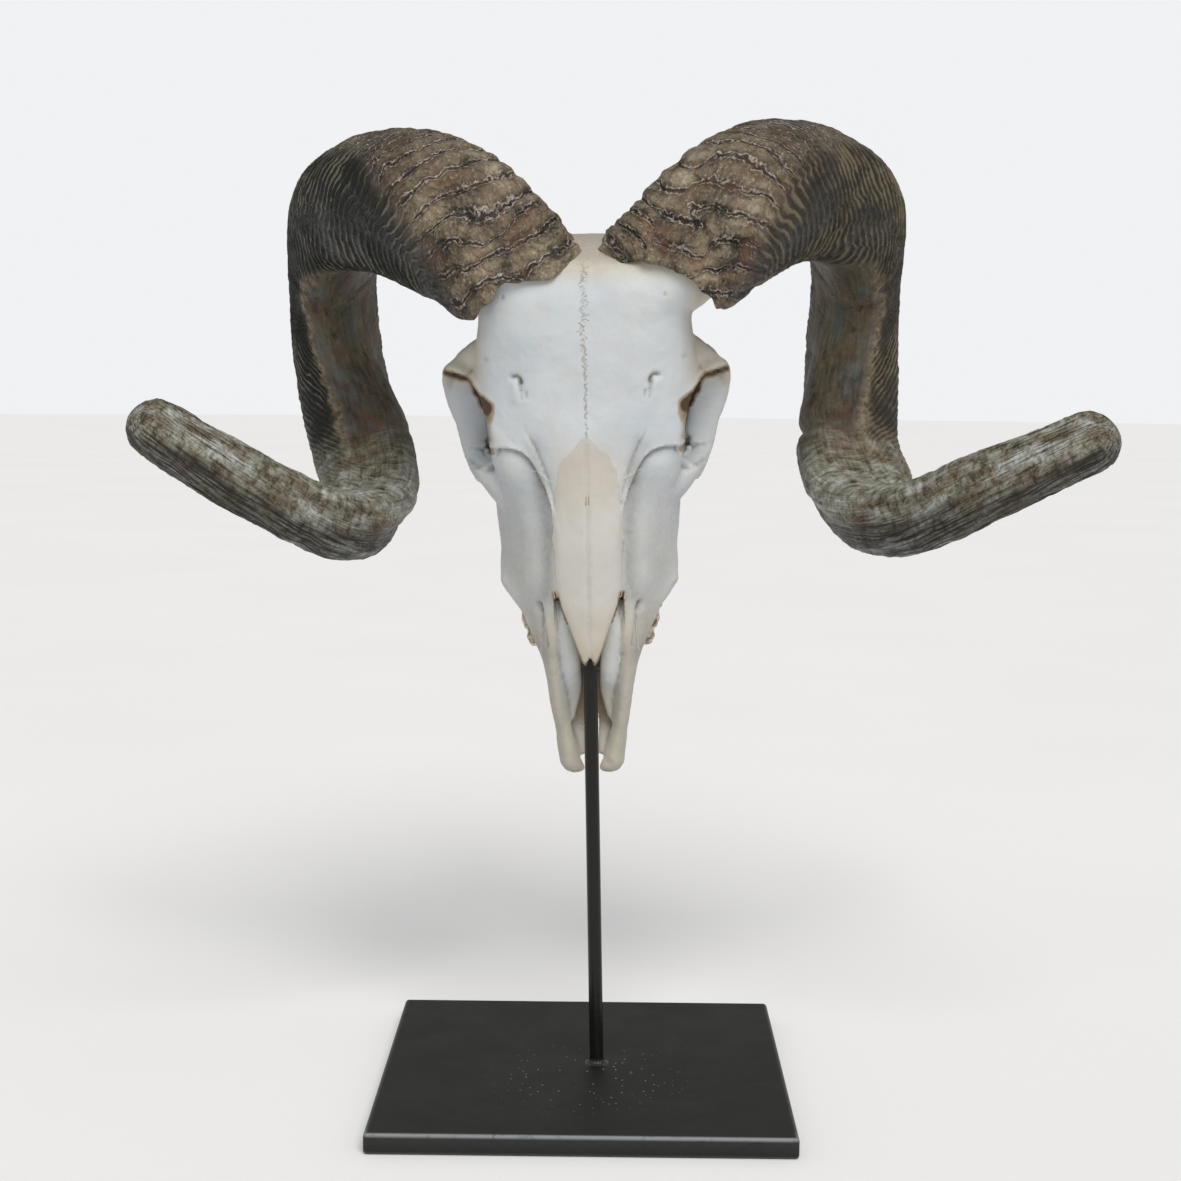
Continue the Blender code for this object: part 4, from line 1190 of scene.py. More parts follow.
@dataclass
class Horn:
    """One horn sheath: a ridged tube wound about the curl's axis, hollow where the core fills it."""

    side: Side
    stations: Table
    rim: Table
    seed: int
    curl_y: float = 55.0
    curl_z: float = 371.1
    section: Table = (
        (0, 0.10, 0), (90, 0.04, 0), (150, 0.02, 0), (250, 0.08, 0), (330, 0.16, 40), (400, 0.20, 60),
        (450, 0.16, 60), (500, 0.10, 60), (560, 0.05, 60),
    )
    notch: tuple[float, float] = (0.0, 0.0)
    notch_angle: float = 248.0
    heel: float = 4.5
    heel_angle: float = 298.0
    wall: float = 3.6
    mean_radius: float = 26.0
    rings: int = 720
    sides: int = 132
    coarse_pitch: float = 11.5
    fine_pitch: float = 5.0
    year_rings: tuple = (112, 168, 232, 291, 342, 392, 438, 476)
    cavity: Table = (
        (58, 24), (52, 14), (40, 9), (25, 6.5), (12, 5), (5, 4.2), (2.2, 3.6), (1.0, 3.3), (0.3, 2.7),
        (0.0, 1.8), (0.3, 0.9), (1.0, 0.3), (2.0, 0.0),
    )

    def spine(self, samples: int = 500, shrink: float = 0.0) -> tuple[Array, Array, Array, Array, Array]:
        """Carry the stations along a smooth line: turn about the curl's axis, radius and reach.

        Args:
            samples: Points along the line.
            shrink: Taken off both half thicknesses.

        Returns:
            Distance along the line, its points, the directions away from the curl's axis and
            across, and both half thicknesses.
        """
        sign = self.side.value
        table = np.array(self.stations, float)
        turn = np.radians(table[:, 0])
        depth = self.curl_y - table[:, 1] * np.cos(turn)
        height = self.curl_z + table[:, 1] * np.sin(turn)
        line = np.stack([sign * table[:, 2], depth, height], 1)
        knots = length_along(line)
        weights = open_weights(knots, np.linspace(0, knots[-1], samples))
        middle = weights @ line
        half = weights @ table[:, 3:5] - shrink
        forward = unit(np.gradient(middle, axis=0))
        out = middle - np.array([0, self.curl_y, self.curl_z])
        out[:, 0] = 0
        out = unit(out - (out * forward).sum(1, keepdims=True) * forward)
        across = np.cross(forward, out)
        if across[: samples // 2, 0].mean() * sign < 0:
            across = -across
        return length_along(middle), middle, out, across, half

    def corners(self, along: Array, angle: Array) -> Array:
        """Share of the half thickness in a section with three soft corners: 1 - s cos 3(a - t).

        Args:
            along: Distance along the horn, which sets the swell s and the turn t.
            angle: Angle a round the section.

        Returns:
            Shares, about 0.8 to 1.2.
        """
        table = np.array(self.section, float)
        swell = np.interp(along, table[:, 0], table[:, 1])
        turned = np.radians(np.interp(along, table[:, 0], table[:, 2]))
        return 1 - swell * np.cos(3 * (angle - turned))

    def faces(self, along: Array, angle: Array, spot: Array) -> tuple[Array, Array, Array, Array]:
        """Shares of the front, outer and inner face, which meet along wandering edges.

        Args:
            along: Distance along the horn.
            angle: Angle round the section, from the front over the outer side.
            spot: Straightened place of each corner.

        Returns:
            Front, outer and inner share, which add up to one, and the ragged edge between the
            outer and the inner face.
        """
        turn = np.degrees(angle) + 7 * lumps(spot, 26, 2, self.seed)
        turn = np.where(turn > 250, turn - 360, turn)
        limit = 152 + 44 * smoothstep(235, 150, along)
        near = 22 * smoothstep(120, 50, along)
        front = smoothstep(-104, -76, turn) * smoothstep(66 + near, 34 + near, turn)
        outer = smoothstep(34 + near, 66 + near, turn) * smoothstep(limit + 10, limit - 6, turn)
        edge = np.exp(-(((turn + 4 * lumps(spot, 7, 2, self.seed + 13) - limit) / 7) ** 2))
        edge = edge * smoothstep(190, 235, along) * smoothstep(450, 410, along)
        return front, outer, np.clip(1 - front - outer, 0, 1), edge

    def phases(self, along: Array, angle: Array, spot: Array, total: float) -> tuple[Array, Array]:
        """Counts of coarse rolls and of fine ribs up to each corner.

        Both follow the distance along the horn, slanted round the section by a cosine so that they
        run along the rim, drawn down to the ridge between the outer and the inner face, bent by
        lumps, and shifted by half a wave across soft faults so that rolls part and join.

        Args:
            along: Distance along the horn.
            angle: Angle round the section.
            spot: Straightened place of each corner.
            total: Length of the horn.

        Returns:
            Roll count and rib count.
        """
        slant = np.cos(angle + 0.52 - 0.7 * smoothstep(40, 200, along))
        slant = (18 + 3 * smoothstep(40, 230, along)) * slant
        turn = angle % (2 * math.pi)
        chevron = smoothstep(1.4, 3.1, turn) * smoothstep(5.8, 3.6, turn)
        slant -= 24 * smoothstep(110, 220, along) * chevron
        fault = smoothstep(-0.12, 0.12, lumps(spot, (36, 22, 22), 1, self.seed + 1))
        bend = 3.4 * lumps(spot, (18, 22, 22), 2, self.seed + 2)
        bend += 1.3 * lumps(spot, 8, 2, self.seed + 3)
        packed = along + 0.9 * (np.clip(along - 60, 0, 110) ** 2) / 110 + 1.8 * np.clip(along - 170, 0, None)
        rolls = (packed + slant + bend) / self.coarse_pitch + 0.5 * fault
        fault = smoothstep(-0.1, 0.1, lumps(spot, (50, 9, 9), 1, self.seed + 4))
        bend = 1.7 * lumps(spot, (22, 10, 10), 3, self.seed + 5)
        ribs = (along * (1 - 0.13 * along / total) + slant + bend) / self.fine_pitch + 0.5 * fault
        return rolls, ribs

    def relief(self, along: Array, angle: Array, total: float, dome: Array) -> dict[str, Array]:
        """Height of the sheath's surface over its smooth form.

        Lobes on the front face are domes between narrow furrows, and the outer face carries fine
        ribs. Both fade towards the tip, where lengthwise fibres take over, and yearly rings pinch
        the horn. The heel is the sheath's fold over the forehead.

        Args:
            along: Distance along the horn, shape (rings, sides).
            angle: Angle round the section, from the front over the outer side.
            total: Length of the horn.
            dome: Share of the section's size, which falls to 0 over the blunt tip.

        Returns:
            Rise in millimetres, the three faces, both counts and the straightened place.
        """
        girth = self.mean_radius * dome
        spot = np.stack([along, girth * np.cos(angle), girth * np.sin(angle)], -1)
        age = along / total
        front, outer, inner, edge = self.faces(along, angle, spot)
        rolls, ribs = self.phases(along, angle, spot, total)
        part = rolls - np.floor(rolls)
        lobe = np.sin(math.pi * part ** 0.85) ** 0.75
        fine = (0.5 + 0.5 * np.cos(2 * math.pi * ribs)) ** 1.2
        fade = smoothstep(0.86, 0.12, age)
        tipward = smoothstep(0.55, 0.8, age)
        uneven = 0.75 + 0.4 * lumps(spot, (14, 18, 18), 2, self.seed + 6)
        tall = 3.3 / (1 + 1.4 * np.clip(along - 60, 0, 110) / 110)
        rise = front * fade * (tall * uneven * (lobe - 0.76) + 0.3 * (fine - 0.5))
        rise += front * fade * 0.6 * lumps(spot, (7, 11, 11), 2, self.seed + 14)
        rise += outer * (1 - 0.75 * smoothstep(0.35, 0.68, age)) * 1.3 * uneven * (fine - 0.55)
        lean = (np.degrees(angle) - self.heel_angle + 180) % 360 - 180
        reach = np.where(along < 32, (along - 32) / 22, (along - 32) / 40)
        rise += self.heel * np.exp(-((lean / 27) ** 2) - reach ** 2)
        rise += inner * 0.08 * (fine - 0.5) * uneven
        rise += edge * (0.5 + 0.7 * lumps(spot, (5, 9, 9), 2, self.seed + 15))
        fibres = lumps(spot, (26, 1.6, 1.6), 2, self.seed + 7)
        rise += (0.12 + 0.38 * tipward) * fibres
        rise += 0.35 * inner * lumps(spot, (70, 6, 6), 2, self.seed + 16)
        rise += 0.45 * tipward * lumps(spot, (10, 5, 5), 2, self.seed + 17)
        years = sum(np.exp(-(((along + 6 * np.cos(angle) - place) / 3.6) ** 2)) for place in self.year_rings)
        rise -= 0.9 * years * (0.5 + 0.5 * inner)
        place, depth = self.notch
        medial = smoothstep(0.2, 0.8, np.cos(angle - math.radians(self.notch_angle)))
        rise -= depth * medial * np.exp(-(((along - place) / 4.5) ** 2))
        rise += 0.5 * inner * lumps(spot, (22, 18, 18), 2, self.seed + 8) * smoothstep(0.1, 0.3, age)
        nodules = smoothstep(62, 36, along) * (1 - 0.5 * inner)
        rise += nodules * (1.2 * lumps(spot, 9, 3, self.seed + 9) - 0.2)
        rise += 0.8 * lumps(spot, 38, 2, self.seed + 10) * (1 - 0.5 * age)
        rise += 0.18 * lumps(spot, 2.4, 2, self.seed + 11)
        return {"rise": rise, "front": front, "inner": inner, "edge": edge, "rolls": rolls, "ribs": ribs,
                "straight": spot * MM}

    def build(self) -> Item:
        """Lay the sheath's grid: up the inner wall, round the ragged rim and out to the blunt tip.

        Returns:
            The sheath, with its numbers for the shader.
        """
        place, middle, out, across, half = self.spine()
        total = place[-1]
        angle = round_angles(self.sides)
        rim = np.array(self.rim, float)
        start = np.interp(np.degrees(angle), np.r_[rim[:, 0], 360], np.r_[rim[:, 1], rim[0, 1]])
        ring = np.stack([np.zeros(self.sides), 30 * np.cos(angle), 30 * np.sin(angle)], -1)
        start += 1.6 * lumps(ring, 11, 3, self.seed + 12)
        cavity = np.array(self.cavity, float)
        blunt = half[-1].mean()
        share = np.linspace(0, 1, self.rings)[:, None]
        first = start + cavity[-1, 0]
        outer = first + share * (total - 0.4 - first)
        along = np.concatenate([start + cavity[:, :1], outer])
        inset = np.concatenate([cavity[:, 1:] * np.ones(self.sides), 0 * outer])
        past = np.clip(along - (total - blunt), 0, None) / blunt
        dome = np.sqrt(np.clip(1 - past ** 2, 0, 1))
        relief = self.relief(along, np.broadcast_to(angle, along.shape), total, dome)
        fade_in = smoothstep(-0.5, 2.5, outer - start - 2)
        fade_in = np.concatenate([np.zeros((len(cavity), self.sides)), fade_in])
        rise = relief["rise"] * fade_in * dome - 0.5 * smoothstep(total - 60, total - 15, along) - inset
        corner = self.corners(along, angle)
        points, out, across, size = (read_along(place, rows, along) for rows in (middle, out, across, half))
        radial = (size[..., 0] * corner * dome + rise) * np.cos(angle)
        lateral = (size[..., 1] * corner * dome + rise) * np.sin(angle)
        points = points + radial[..., None] * out + lateral[..., None] * across
        # Painted shade: how far each corner faces down, over the outer half of the horn.
        drop = -np.cos(angle) * out[..., 2] - np.sin(angle) * across[..., 2]
        drop += 0.2 * lumps(relief["straight"] / MM, (24, 14, 14), 2, self.seed + 18)
        relief["under"] = dome * smoothstep(0.0, 0.55, drop) * smoothstep(0.5, 0.62, along / total)
        item = ring_tube(f"horn_sheath_{self.side.word}", points)
        for name in ("front", "inner", "edge", "under", "rolls", "ribs"):
            values = relief[name]
            write_attribute(item, name, np.r_[values.ravel(), values[0].mean(), values[-1].mean()])
        age = along / total
        write_attribute(item, "age", np.r_[age.ravel(), age[0].mean(), 1.0])
        straight = relief["straight"]
        tail = np.stack([straight[0].mean(0), straight[-1].mean(0)])
        write_attribute(item, "straight", np.concatenate([straight.reshape(-1, 3), tail]))
        return item

    def core(self, outer_side: Table, start: float, swell: float, length: float) -> Array:
        """Rings of the bony core inside the sheath's root, narrower on its outer side.

        Args:
            outer_side: Distance along the horn and half thickness on the outer side.
            start: Distance at which the core starts.
            swell: Distance in which it becomes full.
            length: Distance at which it ends.

        Returns:
            Rings of points, shape (rings, sides, 3).
        """
        place, middle, out, across, half = self.spine(shrink=self.wall)
        share = np.linspace(0, 1, 60)
        at = start + share * (length - start)
        root = np.clip((at - start) / swell, 0, 1)
        tip = np.sqrt(np.clip(1 - share ** 3, 0.01, 1))
        angle = round_angles(72)
        corner = self.corners(at[:, None], angle)
        size = read_along(place, half, at) * (tip * (1 - 0.5 * (1 - root) ** 2))[:, None]
        limit = np.array(outer_side, float)
        limit = np.interp(at, limit[:, 0], limit[:, 1]) * tip
        sideways = np.where(np.sin(angle) > 0, limit[:, None], size[:, 1:]) * corner * np.sin(angle)
        outward = size[:, :1] * corner * np.cos(angle)
        points = read_along(place, middle, at)[:, None]
        points = points + outward[..., None] * read_along(place, out, at)[:, None]
        return points + sideways[..., None] * read_along(place, across, at)[:, None]


HORNS = {
    Side.LEFT: Horn(
        Side.LEFT,
        stations=(
            (0, 64, 12, 30, 33), (20, 66.6, 34.4, 32, 32), (50, 72, 66, 41, 32.5), (88, 71, 106.5, 36, 30.5),
            (128, 79.5, 136, 30.3, 26), (155, 82, 143.5, 28.5, 23.5), (180, 82.8, 141, 27.3, 24),
            (225, 86, 122.5, 23, 25.5), (262, 88.5, 116.5, 18.6, 22), (290, 95.5, 130.5, 15.6, 18.5),
            (310.5, 97, 159.6, 14.4, 17.5), (337, 89.5, 218, 12, 14.5),
        ),
        rim=(
            (0, 29), (15, 32), (30, 32), (45, 33), (60, 33), (75, 37), (90, 44), (105, 50), (120, 53),
            (150, 56), (180, 55), (210, 48), (225, 40), (240, 30), (255, 23), (270, 18), (285, 15), (300, 16),
            (330, 23),
        ),
        seed=11,
    ),
    Side.RIGHT: Horn(
        Side.RIGHT,
        stations=(
            (0, 64, 14, 30, 33), (20, 67.6, 36.6, 32, 31.2), (50, 78.5, 67.3, 40.3, 32.5),
            (86, 78.5, 103, 35, 32), (126, 79.8, 138.5, 30, 27.5), (155, 82, 144.5, 28.5, 24),
            (180, 82.8, 142.5, 27.3, 24.5), (225, 85, 138, 23.5, 26.5), (243, 84, 141, 21.5, 27),
            (262, 84.2, 145, 19.5, 24.5), (288, 89, 163, 17.2, 20), (311, 90, 196, 16.2, 18),
            (333, 87.8, 252.5, 13.6, 15),
        ),
        rim=(
            (0, 38), (15, 39), (30, 39), (45, 40), (60, 40), (75, 44), (90, 50), (105, 55), (120, 58),
            (150, 61), (180, 61), (210, 56), (225, 50), (240, 43), (255, 31), (270, 22), (285, 19), (300, 20),
            (330, 32),
        ),
        notch=(342.0, 3.2),
        heel=8.0,
        seed=47,
    ),
}


@dataclass
class Skull:
    """The skull's bones: one skin from sections, bars and rounded masses, parted along its seams.

    Sizes are in millimetres with the skull upright. Level sections give half of an outline from
    the front midline over the nasal edge, cheek and side to the back midline, as (across, depth).
    """

    sections: tuple = (
        (199, (0, 8), (9, 8), (16, 7), (20, 9), (21.5, 14), (21, 22), (17, 29), (9, 32), (0, 32)),
        (215, (0, -11), (6, -9), (15, 0), (21, 3), (24, 10), (25, 22), (23, 35), (12, 39), (0, 39)),
        (232, (0, -14), (11, -11), (18, -3), (24, 6), (30, 18), (33, 32), (32, 45), (18, 47), (0, 46)),
        (250, (0, -16), (14, -13), (20, -6), (31, 8), (43, 26), (40, 38), (35, 51), (20, 53), (0, 52)),
        (272, (0, -18), (16, -14), (21, -7), (32, 5), (44, 26), (43, 40), (36, 57), (20, 60), (0, 59)),
        (295, (0, -17), (16, -13.5), (23, -6), (35, 3), (46, 24), (44, 42), (35, 61), (18, 67), (0, 66)),
        (315, (0, -16), (14, -14), (28, -9), (42, -3), (47, 11), (37, 38), (28, 60), (17, 72), (0, 72)),
        (337, (0, -18), (20, -16.5), (36, -12), (49, -4), (50, 6), (33, 38), (32, 62), (18, 77), (0, 79)),
        (358, (0, -23), (22, -22), (38, -17), (50, -7), (54, 8), (41, 40), (38, 65), (20, 81), (0, 84)),
        (378, (0, -28), (22, -28), (38, -25), (48, -15), (52, 4), (43, 42), (40, 66), (22, 83), (0, 86)),
        (398, (0, -30), (20, -31), (35, -30), (46, -20), (49, 3), (42, 41), (37, 64), (20, 81), (0, 85)),
        (413, (0, -24), (16, -23), (28, -19), (37, -9), (41, 10), (37, 38), (31, 58), (16, 71), (0, 75)),
        (420, (0, -14), (11, -13), (20, -8), (27, 2), (30, 14), (28, 32), (22, 47), (11, 57), (0, 60)),
        (424, (0, 0), (4, 1), (8, 4), (11, 9), (12, 15), (11, 24), (8, 30), (4, 34), (0, 35)),
    )
    orbit_middle: tuple = (58.5, 19.0, 335.5)
    orbit_facing: tuple = (0.855, -0.34, -0.395)
    orbit_long: tuple = (0.42, 0.0, 0.91)
    orbit_radius: float = 23.5
    orbit_rim: float = 3.2
    orbit_hollow: tuple = ((16, 1.10), (6, 1.03), (0, 1.0), (-8, 0.98), (-18, 0.88), (-28, 0.66), (-36, 0.35))
    postorbital: tuple = (
        (56, 22, 366, 6, 6), (61.5, 33, 355, 8.5, 3.5), (60, 40, 343, 8.5, 2.8), (58.5, 42, 329, 8, 2.8),
        (56, 37, 316, 6.5, 3.5), (51, 30, 306, 6, 6),
    )
    cheek_bone: tuple = (
        (38, 24, 296, 8, 12), (46, 24, 303, 6.5, 11), (54, 26, 311, 4.8, 8), (59, 36, 319, 3.6, 6.5),
        (60.5, 50, 331, 3.2, 6), (58, 62, 345, 3.2, 5.5), (53, 70, 358, 4, 5.5), (42, 72, 368, 7, 7),
    )
    eyebrow: tuple = (
        (34, 2, 366, 12, 10), (48, 6, 366, 10, 8), (58, 14, 363, 7, 5), (65, 19, 360, 4.2, 3.6),
        (69.5, 22, 358.5, 2.2, 2.6),
    )
    muzzle: tuple = (
        (19, -2, 250, 3.0, 3.5), (19, 3, 234, 4.2, 6), (18.4, 7, 217, 4.6, 8), (16.4, 10, 196, 4.4, 8),
        (13.8, 13, 178, 4.2, 7), (11.6, 14.5, 167, 5.2, 6), (9.8, 15, 161.8, 5.8, 5),
        (7.6, 15, 161.2, 5.4, 4), (5.4, 15.5, 162, 4.6, 3.2),
    )
    muzzle_floor: tuple = (
        (8.6, 33, 222, 6.5, 2.2), (9.4, 29, 206, 6.8, 2.2), (9.0, 25, 190, 6.2, 2.0),
        (8.4, 21, 176, 5.2, 2.0), (8.0, 17, 165, 5.0, 3.0),
    )
    turbinate: tuple = (
        (11.5, 1, 254, 4, 6), (11.2, 0, 238, 4.8, 4.2), (10.4, 1, 222, 5.4, 3.2), (9.4, 5.5, 206, 5.2, 2.4),
        (9.3, 11, 196, 3.9, 2.2), (9.6, 13, 188, 2.2, 1.8), (9.6, 14, 183.5, 0.9, 1.2),
    )
    tuber: tuple = ((42.2, 28, 253.5), (2.8, 7, 4.2))
    orbit_wall: tuple = ((44, 42, 308, 8, 4), (45.5, 45, 322, 8, 4), (45, 47, 338, 8, 4), (42, 48, 354, 8, 4))
    pterygoid: tuple = ((17, 62, 296, 3, 9), (15, 78, 306, 2.6, 8), (13, 82, 324, 3, 7), (12, 80, 344, 4, 6))
    ear_spur: tuple = (
        (33, 72, 392, 9, 8), (33, 88, 388, 5.5, 6), (31, 103, 384, 3.4, 4.5), (29, 112, 380, 2, 2.4),
    )
    condyle: tuple = ((14, 82, 415), (9, 9, 10))
    bulla: tuple = ((23, 86, 366), (8, 9, 13))
    nape: tuple = ((0, 42, 415), (30, 14, 7))
    floor: tuple = ((0, 80, 372), (13, 12, 46))
    spine_hole: tuple = ((0, 80, 440, 10, 8.5), (0, 76, 414, 10, 8.5), (0, 69, 392, 8, 7))
    nose: tuple = (
        (186, 19, -30, 26), (205, 17.5, -22, 28), (214, 16.5, -8.5, 31), (232, 15.5, -9.5, 35),
        (250, 14, -11, 36), (268, 10, -8, 32), (282, 4, 2, 22),
    )
    slit: tuple = (
        (15.2, 248.5), (16.6, 249.5), (17.2, 240), (16.4, 222), (15.6, 205), (0, 205), (0, 219), (0.5, 219),
        (1.5, 213.5), (2.6, 213.3), (4.4, 217),
    )
    slit_depths: tuple = (-40, 12)
    core_outer: tuple = ((6, 6), (20, 10), (33, 14), (47, 20), (60, 26), (74, 27))
    core_span: tuple = (6.0, 36.0, 74.0)
    bore_play: float = 0.3
    seam: float = 0.05
    seam_waver: float = 0.7
    cut_front: float = -60.0
    cut_back: float = 120.0
    tooth_first: tuple = (25.5, 47, 217)
    tooth_last: tuple = (33.0, 67, 294)
    tooth_bow: float = 5.5
    tooth_lengths: tuple = (8.5, 10.5, 12.0, 14.5, 17.0, 18.5)
    tooth_axes: tuple = ((1.0, 0.0, 0.0), (0.0, 0.97, -0.25), (0.06, 0.25, 0.97))
    tooth_crown: float = 10.0
    tooth_half_width: float = 6.4
    nasal_outline: tuple = (
        (0, 200), (0, 326.5), (3, 324), (7.5, 319), (11.8, 315.8), (14.6, 309), (16.4, 295), (17.0, 276),
        (16.6, 258), (15.6, 248), (9.6, 230), (4, 200),
    )
    nasal_back: float = -7.5
    maxilla_outline: tuple = (
        (0, 196), (0, 304), (16, 304), (24, 309), (34, 311), (43, 304), (50, 292), (70, 285), (70, 196),
    )
    premaxilla_blocks: tuple = (
        (((0, 120), (0, 207), (12, 209), (40, 209), (40, 120)), cut_front, cut_back),
        (((13, 200), (14.6, 226), (16.6, 245), (18.4, 256), (20.2, 247), (22.4, 234), (24.4, 220), (40, 200)),
         cut_front, 9),
    )
    zygoma_outline: tuple = ((70, 338), (52, 338), (49.5, 318), (42, 300), (50, 284), (90, 284), (90, 338))
    marks: tuple = (
        Mark(((52, 320.5), (46.5, 320.3), (41.5, 320.6), (37.5, 320.4), (32.3, 318.8), (27.9, 315),
              (24.4, 308.8), (20.8, 300.5), (18.4, 292), (17.6, 280)), 6.5, -3.5, 1),
        Mark(((45, 321.2), (37.5, 321), (32, 319.6), (27.6, 316), (24, 309.6), (20.8, 301), (18.9, 295)),
             1.0, 0.4),
        Mark(((34.5, 337.6), (31.2, 331.4), (26.8, 322.7), (23.1, 313.5), (20.4, 304.8), (18.1, 296)),
             7.0, -1.9, -1, top=334),
        Mark(((26.4, 321.8), (23.1, 313.5), (20.4, 304.8), (18.1, 296)), 0.7, 0.3),
        Mark(((35.0, 355.2), (33.2, 355.3), (31.9, 354.2), (31.3, 352.4)), 1.35, -2.3),
        Mark(((31.2, 353), (30.9, 349), (30.7, 345)), 1.0, -0.6),
        Mark(((34.2, 352), (33.9, 345)), 2.4, 0.8),
        Mark(((28.7, 348), (28.6, 345.5)), 0.8, -0.8),
        Mark(((48.5, 364.4), (47.6, 363.6)), 1.2, -0.7),
        Mark(((38.4, 393.2), (38.5, 392.6)), 0.6, -1.0),
        Mark(((25.2, 243.2), (24.6, 240.4)), 1.2, -3.4),
        Mark(((24.2, 239), (22.8, 230), (21.6, 223)), 1.1, -1.6),
        Mark(((26.8, 239), (25.8, 228), (25.0, 221)), 1.5, 1.1),
        Mark(((0, 322), (0, 216)), 1.1, -0.6, mirrored=False, back=-6),
        Mark(((44.5, 300), (37, 292), (33, 280), (32, 262)), 8.0, 0.9),
        Mark(((58, 313.5), (51, 309.5), (47.5, 311)), 1.8, -1.0),
        Mark(((50.5, 323), (48.8, 320.6), (46, 318.5)), 1.3, -2.2),
    )
    # Brown paths, mostly painted deep shade: along the orbits' inner rims, at the tops of the nasal slits,
    # along their edges and on the palate floor, and a spot on the midline.
    brown: tuple = (
        (((70, 357.8), (66.5, 356.8), (63, 355.2), (59, 354.9), (57, 352.6), (55.6, 348.5)), 2.0, 60, 1.0),
        (((54.6, 347.5), (52.6, 344.5), (51, 341.5)), 2.3, 60, 1.05),
        (((50.8, 343), (48.0, 341)), 3.2, 60, 1.25),
        (((49.4, 338), (47.6, 336)), 3.2, 60, 0.5),
        (((48.6, 333), (47.6, 326)), 3.0, 60, 0.3),
        (((50, 322), (46.5, 318.6)), 1.6, 60, 0.7),
        (((16.4, 249.5), (16.0, 246.5)), 1.7, 60, 1.2),
        (((15.6, 247), (9.6, 230), (4.4, 217), (2.4, 213.6), (1.2, 216)), 0.9, -4, 0.8),
        (((0, 297), (0, 293.5)), 0.9, 0, 0.75),
        (((15.5, 205), (14.5, 188), (12, 172), (8, 160)), 3.5, 9, 0.16),
    )
    # Grey paths of painted shade: in the orbits, in the brow foramina, beside the nasal bones and over the
    # cheeks.
    grey: tuple = (
        (((49.4, 338), (48.6, 331), (47.8, 325)), 1.9, 0.9),
        (((31.5, 354.4), (31, 349)), 0.7, 0.8),
        (((22.5, 303), (20.5, 285), (19.8, 262), (20.5, 248)), 4.2, 0.55),
        (((36, 258), (30, 246), (28, 232), (26, 220)), 7.0, 0.35),
        (((26, 322), (22.5, 308)), 4.0, 0.35),
        (((44, 300), (42, 280), (42, 268)), 9.0, 0.25),
        (((30, 304), (30, 268)), 8.0, 0.25),
    )

    def head(self, rings: int = 260, sides: int = 240) -> Item:
        """Loft the face and braincase through the level sections, smooth both ways.

        Args:
            rings: Number of level rings.
            sides: Points in each.

        Returns:
            The closed loft.
        """
        heights = [row[0] for row in self.sections]
        outline = []
        for row in self.sections:
            half = [(x, y, row[0]) for x, y in row[1:]]
            outline.append(half + [(-x, y, z) for x, y, z in half[-2:0:-1]])
        along = open_weights(heights, np.linspace(heights[0], heights[-1], rings))
        across = ring_weights(len(outline[0]), sides)
        return ring_tube("head", np.einsum("rs,skc,mk->rmc", along, np.array(outline, float), across))

    def orbit_axes(self, side: int) -> tuple[Array, Array, Array, Array]:
        """Set out one orbit.

        Args:
            side: Sign of x.

        Returns:
            Its middle, and the directions that it faces, of its long axis and across both.
        """
        flip = np.array([side, 1.0, 1.0])
        facing = np.array(self.orbit_facing)
        facing = facing / np.linalg.norm(facing)
        upward = np.array(self.orbit_long)
        upward = upward - (upward @ facing) * facing
        upward = upward / np.linalg.norm(upward)
        middle, back = np.array(self.orbit_middle), np.cross(upward, facing)
        return middle * flip, facing * flip, upward * flip, back * flip

    def orbit_ring(self, side: int) -> Item:
        """The raised ring of bone round one orbit: a circle carried round the orbit's circle.

        Args:
            side: Sign of x.

        Returns:
            The closed ring.
        """
        middle, facing, upward, back = self.orbit_axes(side)
        turn = round_angles(120)
        roll = round_angles(24)
        inward = smoothstep(0.1, -0.8, np.sin(turn))[:, None]
        size = self.orbit_rim * (1 - 0.45 * inward)
        radius = self.orbit_radius + 0.7 * size + size * np.cos(roll)
        rise = size * np.sin(roll) - 2.5 - 1.6 * inward
        ring = np.cos(turn)[:, None] * upward + np.sin(turn)[:, None] * back
        points = middle + radius[..., None] * ring[:, None] + rise[..., None] * facing
        return new_object("orbit_ring", points.reshape(-1, 3), wall_faces(120, 24, closed=True))

    def orbit_tool(self, side: int) -> Item:
        """The cone with round sides that hollows one orbit.

        Args:
            side: Sign of x.

        Returns:
            The closed tool.
        """
        middle, facing, upward, back = self.orbit_axes(side)
        turn = round_angles(96)
        ring = np.cos(turn)[:, None] * upward + np.sin(turn)[:, None] * back
        table = np.array(self.orbit_hollow, float)[::-1]
        table = open_weights(table[:, 0], np.linspace(table[0, 0], table[-1, 0], 40)) @ table
        rings = middle + table[:, :1, None] * facing + self.orbit_radius * table[:, 1:, None] * ring
        return ring_tube("orbit_tool", rings)

    def nose_tool(self) -> Item:
        """The rounded tool that hollows the nose behind the nasal bones.

        Returns:
            The closed tool.
        """
        turn = round_angles(72)
        table = np.array(self.nose, float)
        table = open_weights(table[:, 0], np.linspace(table[0, 0], table[-1, 0], 60)) @ table
        across = table[:, 1:2] * np.sign(np.cos(turn)) * np.abs(np.cos(turn)) ** 0.7
        depth = 0.5 * (table[:, 2:3] + table[:, 3:4]) + 0.5 * (table[:, 3:4] - table[:, 2:3]) * np.sin(turn)
        return ring_tube("nose_tool", np.stack([across, depth, table[:, :1] * np.ones(72)], -1))

